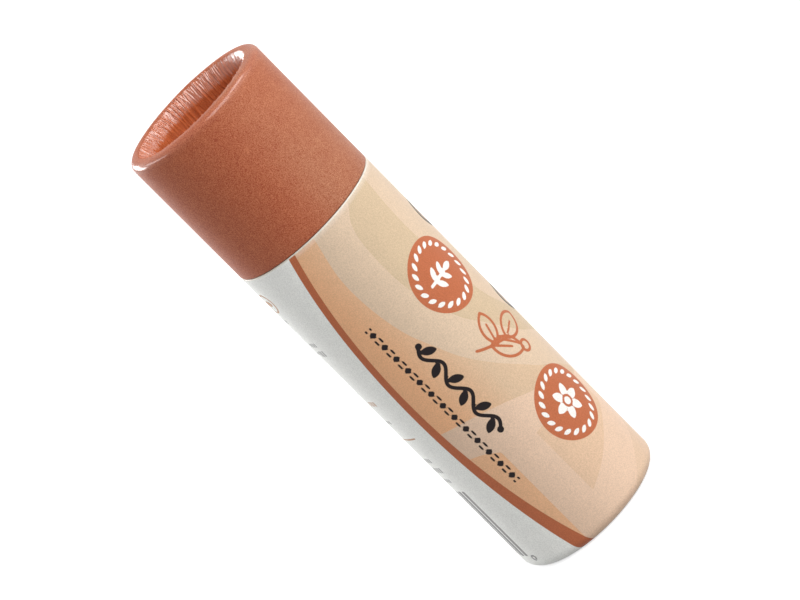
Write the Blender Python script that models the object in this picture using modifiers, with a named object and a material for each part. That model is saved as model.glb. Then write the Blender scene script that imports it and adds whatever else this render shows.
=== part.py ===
"""Paper push-up lip balm stick, standing on its rolled foot.

A board body tube carries a neck tube. A plunger with its balm slides in the neck, and a cap
with a rolled, recessed end slides over it. Tubes and cap are covered in paper, which is turned
over the rolled edges and gathers there in pleats. Metres, +Z up, with the origin on the axis at
the foot. Every turned shape is a profile of (radius, height) points round Z.
"""

import math

import bpy
import bmesh

MM = 0.001

# The finished stick
TOTAL_HEIGHT = 69.8 * MM
OUTSIDE_RADIUS = 10.2 * MM
CAP_LENGTH = 19.0 * MM
SEAM_GAP = 0.12 * MM

# Board and paper
TUBE_BOARD = 0.7 * MM
NECK_BOARD = 0.7 * MM
COLLAR_BOARD = 0.7 * MM
END_DISC_BOARD = 1.2 * MM
PUSH_DISC_BOARD = 1.5 * MM
WRAP_PAPER = 0.15 * MM
FACING_PAPER = 0.15 * MM
LINER_PAPER = 0.12 * MM

# Clearances
GLUE_GAP = 0.05 * MM
FOLD_SLIT = 0.1 * MM
NECK_FIT = 0.1 * MM
PUSH_FIT = 0.12 * MM
POUR_GAP = 0.06 * MM
SEAT_GAP = 0.1 * MM

# Cap: its rolled rim, its recess and its lower edge
RIM_OUTER_ROUND = 0.87 * MM
RIM_INNER_ROUND = 0.6 * MM
RECESS_DEPTH = 5.0 * MM
MOUTH_ROUND = 0.5 * MM

# Body: its top edge, its rolled foot and the skirt inside the foot
TOP_ROUND = 0.25 * MM
FOOT_OUTER_ROUND = 1.5 * MM
FOOT_INNER_ROUND = 1.0 * MM
SKIRT_HEIGHT = 4.6 * MM
SKIRT_CLEARANCE = 0.3 * MM

# Neck
NECK_HEADROOM = 0.6 * MM
NECK_SEAT = 0.4 * MM
NECK_LEAD_IN = 0.2 * MM

# Plunger and balm
COLLAR_HEIGHT = 5.1 * MM
BALM_HEADROOM = 5.2 * MM
BALM_DIP = 0.45 * MM
BALM_EDGE_ROUND = 0.3 * MM

# Pleats of the turned-in paper
PLEAT_COUNT = 36
PLEAT_DEPTH = 0.25 * MM
PLEAT_RUN_IN = 0.9 * MM

# Facets
WRAP_FACETS = 2 * PLEAT_COUNT
BOARD_FACETS = 48
BIG_ARC_STEPS = 4
SMALL_ARC_STEPS = 3
EDGE_ARC_STEPS = 2
DIP_STEPS = 4
WELD_DISTANCE = 0.001 * MM
SHARP_ANGLE = math.radians(35)

# Layers of the wrapped tube, as insets from the outside
BOARD_INSET = WRAP_PAPER + GLUE_GAP
BORE_INSET = BOARD_INSET + TUBE_BOARD
BORE_RADIUS = OUTSIDE_RADIUS - BORE_INSET

# Heights of the main joints
SEAM_HEIGHT = TOTAL_HEIGHT - CAP_LENGTH
BODY_TOP = SEAM_HEIGHT - SEAM_GAP

# Heights inside the closed cap, from its recess down to what stands below its end disc
RECESS_FLOOR = TOTAL_HEIGHT - RECESS_DEPTH
END_PAPER_FOOT = RECESS_FLOOR - GLUE_GAP - FACING_PAPER
END_DISC_FOOT = END_PAPER_FOOT - GLUE_GAP - END_DISC_BOARD
SEAL_FOOT = END_DISC_FOOT - GLUE_GAP - LINER_PAPER
NECK_TOP = SEAL_FOOT - NECK_HEADROOM
BALM_TOP = SEAL_FOOT - BALM_HEADROOM

# Radii from the bore inwards
NECK_OUTER = BORE_RADIUS - NECK_FIT
NECK_INNER = NECK_OUTER - NECK_BOARD
LINER_OUTER = NECK_INNER - GLUE_GAP
LINER_INNER = LINER_OUTER - LINER_PAPER
PLUNGER_RADIUS = LINER_INNER - PUSH_FIT
COLLAR_INNER = PLUNGER_RADIUS - COLLAR_BOARD
PUSH_DISC_RADIUS = COLLAR_INNER - GLUE_GAP

# The hole in each rolled end, inside the turned-in paper
RIM_HOLE = BORE_RADIUS - FOLD_SLIT - TUBE_BOARD - BOARD_INSET
FOOT_HOLE = NECK_INNER - SKIRT_CLEARANCE - TUBE_BOARD - BOARD_INSET

# Colours, as seen in the photograph or usual for the material
TERRACOTTA = (0.455, 0.140, 0.066, 1.0)
LABEL_PEACH = (0.800, 0.600, 0.440, 1.0)
KRAFT = (0.440, 0.290, 0.170, 1.0)
GREASEPROOF = (0.780, 0.730, 0.620, 1.0)
BALM_CREAM = (0.830, 0.760, 0.560, 1.0)


def clear_scene():
    """Remove every object, and the data that only those objects used."""
    for obj in list(bpy.data.objects):
        bpy.data.objects.remove(obj, do_unlink=True)
    bpy.data.orphans_purge(do_recursive=True)


def make_material(name, colour, roughness):
    """A Principled material with a plain colour and roughness, not metallic."""
    material = bpy.data.materials.new(name)
    material.use_nodes = True
    shader = material.node_tree.nodes["Principled BSDF"]
    shader.inputs["Base Color"].default_value = colour
    shader.inputs["Roughness"].default_value = roughness
    shader.inputs["Metallic"].default_value = 0.0
    material.diffuse_color = colour
    return material


def make_axis(name, height, parent=None):
    """An empty on the stick's axis, which carries the pieces of one moving body."""
    axis = bpy.data.objects.new(name, None)
    axis.empty_display_type = "ARROWS"
    axis.empty_display_size = OUTSIDE_RADIUS
    PART.objects.link(axis)
    axis.parent = parent
    axis.location = (0.0, 0.0, height)
    return axis


def arc(centre, radius, start, stop, steps):
    """Points on an arc about a (radius, height) centre, from one angle in degrees to another."""
    points = []
    for step in range(steps + 1):
        angle = math.radians(start + (stop - start) * step / steps)
        points.append((centre[0] + radius * math.cos(angle), centre[1] + radius * math.sin(angle)))
    return points


def shade_round(mesh):
    """Smooth shading, with the real edges kept sharp."""
    mesh.shade_smooth()
    mesh.set_sharp_from_angle(angle=SHARP_ANGLE)


def turned_mesh(name, profile, facets, closed=True):
    """Turn a profile round Z. It runs down its outer side. An open one starts and ends on Z."""
    points = [(radius, 0.0, height) for radius, height in profile]
    edges = [(i, i + 1) for i in range(len(points) - 1)]
    if closed:
        edges.append((len(points) - 1, 0))
    outline = bpy.data.meshes.new(name + "_outline")
    outline.from_pydata(points, edges, [])
    blank = bpy.data.objects.new(name + "_blank", outline)
    PART.objects.link(blank)
    screw = blank.modifiers.new("turn", "SCREW")
    screw.axis = "Z"
    screw.angle = math.tau
    screw.steps = facets
    screw.render_steps = facets
    screw.use_merge_vertices = True
    screw.merge_threshold = WELD_DISTANCE
    graph = bpy.context.evaluated_depsgraph_get()
    mesh = bpy.data.meshes.new_from_object(blank.evaluated_get(graph))
    mesh.name = name
    bpy.data.objects.remove(blank, do_unlink=True)
    bpy.data.meshes.remove(outline)
    return mesh


def add_piece(name, mesh, material, parent):
    """Put a mesh into the part as a named piece carried by an axis."""
    shade_round(mesh)
    mesh.materials.clear()
    mesh.materials.append(material)
    piece = bpy.data.objects.new(name, mesh)
    PART.objects.link(piece)
    piece.parent = parent
    return piece


def add_turned(name, profile, facets, material, parent, closed=True):
    """A turned piece, on the axis of its body."""
    return add_piece(name, turned_mesh(name, profile, facets, closed), material, parent)


def add_disc(name, radius, foot, thickness, material, parent):
    """A flat disc, whose underside lies at the height foot over its parent axis."""
    bpy.ops.mesh.primitive_cylinder_add(vertices=BOARD_FACETS, radius=radius, depth=thickness)
    disc = bpy.context.object
    disc.name = name
    disc.data.name = name
    for collection in list(disc.users_collection):
        collection.objects.unlink(disc)
    PART.objects.link(disc)
    shade_round(disc.data)
    disc.data.materials.append(material)
    disc.parent = parent
    disc.location = (0.0, 0.0, foot + thickness / 2)
    return disc


def band(surface, outer_inset, inner_inset):
    """The closed profile of a sheet that lies between two insets of one surface."""
    return surface(outer_inset) + surface(inner_inset)[::-1]


def cap_surface(inset):
    """The cap's outside, moved in by an inset: up the recess, over the rim and down the side.

    Heights start at the cap's mouth. The last arc turns under the mouth's edge.
    """
    side = OUTSIDE_RADIUS - inset
    inner_centre = (RIM_HOLE + RIM_INNER_ROUND, CAP_LENGTH - RIM_INNER_ROUND)
    outer_centre = (OUTSIDE_RADIUS - RIM_OUTER_ROUND, CAP_LENGTH - RIM_OUTER_ROUND)
    mouth_centre = (OUTSIDE_RADIUS - MOUTH_ROUND, MOUTH_ROUND)
    points = [(RIM_HOLE + inset, CAP_LENGTH - RECESS_DEPTH)]
    points += arc(inner_centre, RIM_INNER_ROUND - inset, 180, 90, SMALL_ARC_STEPS)
    points += arc(outer_centre, RIM_OUTER_ROUND - inset, 90, 0, BIG_ARC_STEPS)
    points += arc(mouth_centre, side - mouth_centre[0], 0, -90, EDGE_ARC_STEPS)
    return points


def foot_surface(inset):
    """The body's outside below its top edge, moved in by an inset: down, round and up the skirt."""
    outer_centre = (OUTSIDE_RADIUS - FOOT_OUTER_ROUND, FOOT_OUTER_ROUND)
    inner_centre = (FOOT_HOLE + FOOT_INNER_ROUND, FOOT_INNER_ROUND)
    points = arc(outer_centre, FOOT_OUTER_ROUND - inset, 0, -90, BIG_ARC_STEPS)
    points += arc(inner_centre, FOOT_INNER_ROUND - inset, -90, -180, SMALL_ARC_STEPS)
    points.append((FOOT_HOLE + inset, SKIRT_HEIGHT))
    return points


def body_surface(inset):
    """The body's whole outside, moved in by an inset, from its rounded top edge to the skirt."""
    top_centre = (OUTSIDE_RADIUS - TOP_ROUND, BODY_TOP - TOP_ROUND)
    return arc(top_centre, TOP_ROUND - inset, 90, 0, EDGE_ARC_STEPS) + foot_surface(inset)


def gather_pleats(mesh, hole_radius, edge_height):
    """Raise every second line of the paper inside a rolled end, as the folds of its gathers.

    The folds grow from nothing on the rolled edge to their full depth a little way inside it.
    Only the open side of the paper moves, so its glued side stays on the board.
    """
    edit = bmesh.new()
    edit.from_mesh(mesh)
    open_side = hole_radius + WRAP_PAPER / 2
    rolled_side = hole_radius + RIM_INNER_ROUND
    pitch = math.tau / WRAP_FACETS
    for vertex in edit.verts:
        radius = math.hypot(vertex.co.x, vertex.co.y)
        inside = abs(edge_height - vertex.co.z)
        line = round(math.atan2(vertex.co.y, vertex.co.x) / pitch)
        on_open_side = radius < open_side or (radius < rolled_side and inside < WRAP_PAPER)
        if line % 2 and on_open_side:
            depth = PLEAT_DEPTH * min(1.0, inside / PLEAT_RUN_IN)
            vertex.co.x *= (radius - depth) / radius
            vertex.co.y *= (radius - depth) / radius
    edit.to_mesh(mesh)
    edit.free()


def build_cap(axis, paper, board, seal):
    """The cap: wrapped board with a rolled rim, closed by a disc under the recess."""
    wrap = turned_mesh("cap_wrap", band(cap_surface, 0.0, WRAP_PAPER), WRAP_FACETS)
    gather_pleats(wrap, RIM_HOLE, CAP_LENGTH)
    add_piece("cap_wrap", wrap, paper, axis)

    # The board's rim is folded tight, so only a slit is left between its side and its skirt.
    slit_top = CAP_LENGTH - BORE_INSET
    skirt_side = BORE_RADIUS - FOLD_SLIT
    skirt_foot = CAP_LENGTH - RECESS_DEPTH
    inside = [(BORE_RADIUS, BOARD_INSET), (BORE_RADIUS, slit_top), (skirt_side, slit_top)]
    inside.append((skirt_side, skirt_foot))
    add_turned("cap_tube", cap_surface(BOARD_INSET) + inside, BOARD_FACETS, board, axis)

    radius = BORE_RADIUS - GLUE_GAP
    add_disc("cap_end_paper", radius, END_PAPER_FOOT - SEAM_HEIGHT, FACING_PAPER, paper, axis)
    add_disc("cap_end_disc", radius, END_DISC_FOOT - SEAM_HEIGHT, END_DISC_BOARD, board, axis)
    add_disc("cap_seal_paper", radius, SEAL_FOOT - SEAM_HEIGHT, LINER_PAPER, seal, axis)


def build_body(axis, label, board, liner):
    """The body: wrapped board rolled round the foot of the neck tube, and the lined neck."""
    wrap = turned_mesh("body_wrap", band(body_surface, 0.0, WRAP_PAPER), WRAP_FACETS)
    gather_pleats(wrap, FOOT_HOLE, 0.0)
    add_piece("body_wrap", wrap, label, axis)

    inside = foot_surface(BORE_INSET)[::-1] + [(BORE_RADIUS, BODY_TOP - BOARD_INSET)]
    add_turned("body_tube", body_surface(BOARD_INSET) + inside, BOARD_FACETS, board, axis)

    neck_foot = BORE_INSET + NECK_SEAT
    neck = [(NECK_INNER, NECK_TOP), (NECK_OUTER - NECK_LEAD_IN, NECK_TOP)]
    neck += [(NECK_OUTER, NECK_TOP - NECK_LEAD_IN), (NECK_OUTER, neck_foot), (NECK_INNER, neck_foot)]
    add_turned("neck_tube", neck, BOARD_FACETS, board, axis)

    liner_foot = SKIRT_HEIGHT + SEAT_GAP
    lining = [(LINER_INNER, NECK_TOP), (LINER_OUTER, NECK_TOP)]
    lining += [(LINER_OUTER, liner_foot), (LINER_INNER, liner_foot)]
    add_turned("neck_liner", lining, BOARD_FACETS, liner, axis)


def build_stick(axis, board, liner, wax):
    """The plunger, a board cup with paper on both faces, and the balm keyed into it."""
    collar_foot = FACING_PAPER + GLUE_GAP
    collar_top = collar_foot + COLLAR_HEIGHT
    collar = [(COLLAR_INNER, collar_top), (PLUNGER_RADIUS, collar_top)]
    collar += [(PLUNGER_RADIUS, collar_foot), (COLLAR_INNER, collar_foot)]
    add_disc("push_base_paper", PLUNGER_RADIUS, 0.0, FACING_PAPER, board, axis)
    add_turned("push_collar", collar, BOARD_FACETS, board, axis)
    add_disc("push_disc", PUSH_DISC_RADIUS, collar_foot, PUSH_DISC_BOARD, board, axis)
    liner_foot = collar_foot + PUSH_DISC_BOARD + GLUE_GAP
    add_disc("push_liner", PUSH_DISC_RADIUS, liner_foot, LINER_PAPER, liner, axis)

    balm_radius = LINER_INNER - POUR_GAP
    plug_radius = COLLAR_INNER - POUR_GAP
    balm_foot = liner_foot + LINER_PAPER + POUR_GAP
    ledge = collar_top + POUR_GAP
    top = BALM_TOP - axis.location.z
    dip_radius = balm_radius - BALM_EDGE_ROUND
    surface = []
    for step in range(DIP_STEPS):
        share = step / DIP_STEPS
        surface.append((dip_radius * share, top - BALM_DIP * (1 - share**2)))
    surface += arc((dip_radius, top - BALM_EDGE_ROUND), BALM_EDGE_ROUND, 90, 0, EDGE_ARC_STEPS)
    surface += [(balm_radius, ledge), (plug_radius, ledge), (plug_radius, balm_foot), (0.0, balm_foot)]
    add_turned("balm", surface, BOARD_FACETS, wax, axis, closed=False)


clear_scene()
PART = bpy.data.collections.new("lip_balm_stick")
bpy.context.scene.collection.children.link(PART)

terracotta_paper = make_material("terracotta_paper", TERRACOTTA, 0.55)
label_paper = make_material("label_paper", LABEL_PEACH, 0.5)
kraft_board = make_material("kraft_board", KRAFT, 0.85)
greaseproof_paper = make_material("greaseproof_paper", GREASEPROOF, 0.4)
balm_wax = make_material("balm_wax", BALM_CREAM, 0.45)

tube_axis = make_axis("tube_axis", 0.0)
stick_axis = make_axis("stick_axis", SKIRT_HEIGHT + SEAT_GAP, tube_axis)
cap_axis = make_axis("cap_axis", SEAM_HEIGHT, tube_axis)

build_body(tube_axis, label_paper, kraft_board, greaseproof_paper)
build_stick(stick_axis, kraft_board, greaseproof_paper, balm_wax)
build_cap(cap_axis, terracotta_paper, kraft_board, greaseproof_paper)
bpy.context.view_layer.update()
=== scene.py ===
# %% [markdown]
# # A paper lip balm stick
#
# This lesson dresses a imported model of a push-up lip balm stick. The real one has no plastic at all: its tubes are
# board, its skins are paper, and a finger pushes the balm up from below. The imported model already holds every piece
# at its real size. Here each piece gets a fine surface, and each surface gets a finish made of nodes.
#
# The imported model is loaded first, and its box is kept.

# %% Load the imported model
import math

import bpy
import numpy as np
from mathutils import Matrix, Vector


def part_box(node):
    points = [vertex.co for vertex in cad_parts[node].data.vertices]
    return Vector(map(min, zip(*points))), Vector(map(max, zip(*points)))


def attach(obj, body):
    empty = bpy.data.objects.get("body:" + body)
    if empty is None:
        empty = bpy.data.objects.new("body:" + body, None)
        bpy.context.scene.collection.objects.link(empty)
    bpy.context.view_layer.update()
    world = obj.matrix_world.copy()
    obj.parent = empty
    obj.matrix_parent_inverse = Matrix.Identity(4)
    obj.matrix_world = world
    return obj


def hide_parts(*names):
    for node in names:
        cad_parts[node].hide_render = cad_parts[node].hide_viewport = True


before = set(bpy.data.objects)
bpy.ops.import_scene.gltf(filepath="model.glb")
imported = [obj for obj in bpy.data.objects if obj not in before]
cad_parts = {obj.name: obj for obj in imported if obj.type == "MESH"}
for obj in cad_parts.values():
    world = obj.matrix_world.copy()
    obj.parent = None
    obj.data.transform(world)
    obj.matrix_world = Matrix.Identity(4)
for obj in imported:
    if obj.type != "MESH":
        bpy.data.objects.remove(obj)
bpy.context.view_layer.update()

print("Nodes in the frame:", ", ".join(sorted(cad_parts)))

# %% [markdown]
# ## Sizes
#
# Heights and outer radii could be typed again, but then a change of the model would leave the looks behind. They are
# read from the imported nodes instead. Only what a node's box can't show, such as the hole inside a rolled edge, is
# named here.

# %% Read the sizes of the pieces
MM = 0.001


def foot_of(node):
    """The height of a node's lowest point."""
    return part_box(node)[0].z


def top_of(node):
    """The height of a node's highest point."""
    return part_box(node)[1].z


def radius_of(node):
    """A turned node's outer radius. Its first column of points lies on the X axis."""
    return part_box(node)[1].x


OUTSIDE = radius_of("cap_wrap")
CAP_TOP = top_of("cap_wrap")
CAP_MOUTH = foot_of("cap_wrap")
BODY_TOP = top_of("body_wrap")
WALL = 0.9 * MM
BORE = OUTSIDE - WALL
PAPER = 0.15 * MM
RIM_HOLE = 8.3 * MM
FOOT_HOLE = 7.3 * MM
RECESS_DEPTH = 5.0 * MM
SKIRT_TOP = 4.6 * MM
print(f"Outside diameter {2 * OUTSIDE / MM:.2f} mm, height {CAP_TOP / MM:.2f} mm, seam at {CAP_MOUTH / MM:.2f} mm")

# %% [markdown]
# ## Camera
#
# The photograph looks slightly down on the stick with a long lens, and the camera is rolled, so that the stick leans
# across the picture from the upper left to the lower right. The stick itself could be tilted for that, but it stands
# upright here, as it would on a shelf. The camera takes the roll: its right and up directions are turned about the
# line of sight.

# %% Place the camera
CAMERA_DISTANCE = 591.8 * MM
CAMERA_ELEVATION = math.radians(15.271)
CAMERA_ROLL = math.radians(44.829)
CAMERA_LENS = 225.0
LEVEL_SHIFT = 1.224 * MM
RISE_SHIFT = 0.286 * MM
AIM_HEIGHT = 34.91 * MM

back = Vector((0.0, -math.cos(CAMERA_ELEVATION), math.sin(CAMERA_ELEVATION)))
level = Vector((1.0, 0.0, 0.0))
rise = back.cross(level)
right = level * math.cos(CAMERA_ROLL) - rise * math.sin(CAMERA_ROLL)
upward = level * math.sin(CAMERA_ROLL) + rise * math.cos(CAMERA_ROLL)

camera_data = bpy.data.cameras.new("camera")
camera_data.lens = CAMERA_LENS
camera_data.clip_end = 10.0
camera = bpy.data.objects.new("camera", camera_data)
bpy.context.scene.collection.objects.link(camera)
place = Matrix((right, upward, back)).transposed().to_4x4()
place.translation = (
    Vector((0.0, 0.0, AIM_HEIGHT)) + back * CAMERA_DISTANCE + level * LEVEL_SHIFT + rise * RISE_SHIFT
)
camera.matrix_world = place
bpy.context.scene.camera = camera
print("Camera at", [round(value, 4) for value in camera.location])

# %% [markdown]
# ## Turned surfaces
#
# Almost every piece of the stick is round. It could be made with a screw modifier, but the paper also has folds, a
# lap seam and small waves, which all change with the direction round the axis. A grid suits that better: one array
# holds the radius, with a row for each point of the outline and a column for each direction, and a second array holds
# the height. Any fold is then just a number taken off the radius before the mesh is made.
#
# Directions are measured from the front of the stick, which faces the camera, and grow towards its right side.

# %% Helpers for turned surfaces
SHARP_ANGLE = math.radians(50)


def directions(columns):
    """Evenly spaced directions round the axis, in radians, from the back (-pi) through the front (0)."""
    return -math.pi + math.tau * np.arange(columns) / columns


def bend(centre, radius, start, stop, rows):
    """Points (radius, height) on an arc: centre plus radius times (cos, sin) of angles in degrees."""
    turn = np.radians(np.linspace(start, stop, rows))
    return np.stack([centre[0] + radius * np.cos(turn), centre[1] + radius * np.sin(turn)], axis=1)


def line(start, stop, rows):
    """Points on the straight line from start to stop, both left out: start plus a growing share of the difference."""
    share = np.linspace(0.0, 1.0, rows + 2)[1:-1, None]
    return np.asarray(start) * (1 - share) + np.asarray(stop) * share


def all_round(values, columns):
    """One number for each outline point, repeated in every direction."""
    return np.repeat(np.reshape(values, (-1, 1)), columns, axis=1)


def along(outline):
    """The distance travelled along an outline up to each of its points: the running sum of its steps."""
    steps = np.hypot(*np.diff(outline, axis=0).T)
    return np.concatenate([[0.0], np.cumsum(steps)])


def outward(outline):
    """The direction straight out of the surface at each point: the outline's own direction, turned a quarter."""
    ahead = np.gradient(outline, axis=0)
    ahead /= np.hypot(*ahead.T)[:, None]
    return np.stack([-ahead[:, 1], ahead[:, 0]], axis=1)


def turn_surface(name, radius, height, angle, closed=True):
    """Make a turned mesh from grids of radius and height, with a row for each outline point.

    Point (i, j) lies at (radius sin(angle j), -radius cos(angle j), height). Neighbouring rows and columns are joined
    by quads. A closed outline joins its last row to its first. An open one ends on the axis, and each end row is
    joined to one point there by triangles. The outline runs down its outer side, so the faces look outwards.
    """
    radius, height, angle = np.broadcast_arrays(radius, height, angle)
    points = np.stack([radius * np.sin(angle), -radius * np.cos(angle), height], axis=-1)
    rows, columns = radius.shape
    index = np.arange(rows * columns).reshape(rows, columns)
    here = index if closed else index[:-1]
    below = np.roll(index, -1, axis=0) if closed else index[1:]
    quads = np.stack([here, below, np.roll(below, -1, axis=1), np.roll(here, -1, axis=1)], axis=-1)
    points, faces = points.reshape(-1, 3), quads.reshape(-1, 4).tolist()
    if not closed:
        first, last, beside = rows * columns, rows * columns + 1, np.roll(index, -1, axis=1)
        poles = [(0.0, 0.0, height[0].mean()), (0.0, 0.0, height[-1].mean())]
        points = np.vstack([points, poles])
        faces += np.stack([np.full(columns, first), index[0], beside[0]], axis=-1).tolist()
        faces += np.stack([index[-1], np.full(columns, last), beside[-1]], axis=-1).tolist()
    mesh = bpy.data.meshes.new(name)
    mesh.from_pydata(points.tolist(), [], faces)
    mesh.shade_smooth()
    mesh.set_sharp_from_angle(angle=SHARP_ANGLE)
    piece = bpy.data.objects.new(name, mesh)
    bpy.context.scene.collection.objects.link(piece)
    return piece


def paint(piece, name, values):
    """Store one number for each point of the mesh, such as a distance that a material can read.

    The points that close an open outline on the axis take the mean of the end rows.
    """
    values = np.asarray(values, float)
    flat = values.reshape(-1)
    missing = len(piece.data.vertices) - flat.size
    if missing:
        flat = np.concatenate([flat, [values[0].mean(), values[-1].mean()]])
    attribute = piece.data.attributes.new(name, "FLOAT", "POINT")
    attribute.data.foreach_set("value", flat.astype(np.float32))


# %% [markdown]
# ## Folds, waves and laps in paper
#
# When a flat strip of paper is turned over a rim and pushed into a smaller hole, it has too much length, and the
# extra gathers into many narrow folds. The folds could be one repeated wave, but real ones are all different: each
# starts at its own depth, leans a little, and dies out. So each fold here is a ridge with its own place, width,
# height, lean and ends, drawn from a seeded random generator, and the highest ridge wins where two meet. The whole
# stick shares one lap: both papers end at the back, a little to the right of its middle.

# %% Folds, waves and laps
LAP_PLACE = math.radians(168.0)
LAP_WIDTH = math.radians(40.0)
LAP_STEP = 0.07 * MM


def smooth(value, low, high):
    """A soft step from 0 at low to 1 at high: 3 t squared minus 2 t cubed, of the share t of the way."""
    share = np.clip((value - low) / (high - low), 0.0, 1.0)
    return share * share * (3.0 - 2.0 * share)


def turned_apart(angle, centre):
    """The angle from a centre direction, taken the short way round."""
    return (angle - centre + math.pi) % math.tau - math.pi


def gathers(angle, depth, hole, count, tallest, reach, seed, widen=1.0, slant=0.13):
    """Height of the folds of gathered paper, for rows at a depth inside a rim and columns at an angle.

    Each ridge is tallest * exp(-(sideways distance / width) squared), times a soft start and a soft end down the
    depth. Paper folds over to one side, so distances on that side count for less and the ridge is longer there.
    """
    draw = np.random.default_rng(seed)
    pitch = math.tau / count
    depth = depth[:, None]
    height = np.zeros((len(depth), len(angle)))
    for number in range(count):
        centre = (number + draw.uniform(-0.42, 0.42)) * pitch
        width = widen * draw.uniform(0.05, 0.1) * MM
        tall = tallest * draw.uniform(0.25, 1.0)
        start = draw.uniform(0.06, 0.5) * MM
        end = reach * draw.uniform(0.5, 1.4)
        lean = draw.uniform(-slant, slant)
        sway = draw.uniform(-0.02, 0.02) * np.sin(depth / MM * draw.uniform(0.8, 1.9) + number)
        aside = turned_apart(angle[None, :], centre) * hole - lean * depth - sway * MM
        aside = np.where(aside > 0.0, aside, aside * draw.uniform(0.35, 0.7))
        ridge = tall * np.exp(-((aside / width) ** 2))
        ridge = ridge * smooth(depth, 0.0, start) * (1.0 - smooth(depth, 0.7 * end, end))
        height = np.maximum(height, ridge)
    return height


def ripple(angle, rows, waves, size, seed):
    """Slow unevenness of paper or wax: a sum of a few cosine waves with drifting phases, at most about size."""
    draw = np.random.default_rng(seed)
    height = np.zeros((len(rows), len(angle)))
    for count in waves:
        phase = draw.uniform(0.0, math.tau)
        drift = draw.uniform(-180.0, 180.0)
        height += np.cos(count * angle[None, :] + phase + drift * rows[:, None])
    return size * height / len(waves)


def lap(angle):
    """Extra radius where a wrap's end lies on its start: a full step at the cut edge, easing away over the width."""
    past = (angle - LAP_PLACE) % math.tau
    return LAP_STEP * (1.0 - smooth(past, 0.25 * LAP_WIDTH, LAP_WIDTH)) * (past < LAP_WIDTH)


print(f"Lap {LAP_WIDTH * OUTSIDE / MM:.1f} mm wide, a step of {LAP_STEP / MM:.2f} mm")

# %% [markdown]
# ## The cap's wrap
#
# The cap is a board tube in a terracotta paper. The paper starts deep inside the recess, comes up its wall, rolls
# over the rim, runs down the side and turns under the mouth. Its outline is one line of points: two arcs for the rim,
# one for the mouth, and straight runs between them. The sheet is 0.15 mm thick, so the same line is followed back,
# moved in by that much, and the two together make a closed loop with real cut edges. The back of the sheet lies on
# the board, where nobody looks, so it gets far fewer rows.
#
# In the recess the gathered paper stands off the board and makes a funnel: steep but open at the top, where the light
# catches the folds, and upright lower down. Its radius is a straight wall's plus a flare times a power of the share
# of the depth that is left, and the crest's arc is placed so that it meets the funnel without a kink. At the mouth
# the paper is folded tightly and hangs a hair below the board, so the seam above the body is very fine. A corner that
# is moved in by more than its own radius would turn inside out, so each keeps a last trace of roundness.

# %% Outline of the cap's wrap
RIM_OUTER_ROUND = 0.87 * MM
RIM_INNER_ROUND = 0.6 * MM
MOUTH_ROUND = 0.17 * MM
MOUTH_DROP = 0.06 * MM
MOUTH_EDGE = CAP_MOUTH - MOUTH_DROP
SHARPEST = 0.02 * MM
CREST_ROUND = 0.42 * MM
FUNNEL_WALL = 7.85 * MM
FUNNEL_FLARE = 0.8 * MM
FUNNEL_DEPTH = 2.3 * MM
FUNNEL_START = 0.2 * MM
FLARE_POWER = 1.5


def board_recess(inset, wall_rows, round_rows):
    """The recess as the board has it, moved in by an inset: up the wall and over the inner edge."""
    wall = RIM_HOLE + inset
    centre = (RIM_HOLE + RIM_INNER_ROUND, CAP_TOP - RIM_INNER_ROUND)
    foot = (wall, CAP_TOP - RECESS_DEPTH)
    return np.vstack([
        [foot], line(foot, (wall, centre[1]), wall_rows),
        bend(centre, RIM_INNER_ROUND - inset, 180, 90, round_rows),
    ])


def gathered_recess(wall_rows, funnel_rows, round_rows):
    """The front of the gathered paper in the recess: up the wall, up the flaring funnel and onto the crest."""
    foot = (FUNNEL_WALL, CAP_TOP - RECESS_DEPTH)
    down = np.linspace(FUNNEL_DEPTH, FUNNEL_START, funnel_rows)
    left = 1.0 - down / FUNNEL_DEPTH
    funnel = np.stack([FUNNEL_WALL + FUNNEL_FLARE * left**FLARE_POWER, CAP_TOP - down], axis=1)
    slope = FLARE_POWER * FUNNEL_FLARE / FUNNEL_DEPTH * left[-1] ** (FLARE_POWER - 1.0)
    lean = math.atan(slope)
    centre = (funnel[-1, 0] + CREST_ROUND * math.cos(lean), funnel[-1, 1] - CREST_ROUND * math.sin(lean))
    return np.vstack([
        [foot], line(foot, tuple(funnel[0]), wall_rows), funnel,
        bend(centre, CREST_ROUND, 180 - math.degrees(lean), 90, round_rows)[1:],
    ])


def cap_outline(recess, inset, round_rows, side_rows, edge_rows):
    """A recess carried on over the rim's shoulder, down the side and under the mouth, all moved in by an inset."""
    side = OUTSIDE - inset
    outer = (OUTSIDE - RIM_OUTER_ROUND, CAP_TOP - RIM_OUTER_ROUND)
    mouth_round = max(MOUTH_ROUND, inset + SHARPEST)
    mouth = (OUTSIDE - mouth_round, MOUTH_EDGE + mouth_round)
    return np.vstack([
        recess,
        bend(outer, RIM_OUTER_ROUND - inset, 90, 0, round_rows),
        line((side, outer[1]), (side, mouth[1]), side_rows),
        bend(mouth, mouth_round - inset, 0, -90, edge_rows),
    ])


cap_outside = cap_outline(gathered_recess(9, 14, 9), 0.0, 12, 9, 5)
cap_inside = cap_outline(board_recess(PAPER, 2, 3), PAPER, 3, 1, 2)[::-1]
print(f"Rows of the cap's wrap: {len(cap_outside)} outside, {len(cap_inside)} on the board")

# %% [markdown]
# Next the outline is turned, and the paper gets its own life: hundreds of fine folds in the recess, a faint waviness
# of the rim, and the lap at the back where the wrap's two ends meet. The tube was cut a touch out of square, so its
# rim is higher on one side. The folds begin just inside the crest and are pushed straight out of the surface. Bold
# folds and fine ones are drawn apart, and the higher of the two wins. Low on the wall they were pressed flatter, and
# at one place on the right the paper was stretched smooth over the edge, where it catches a broad highlight.

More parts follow.
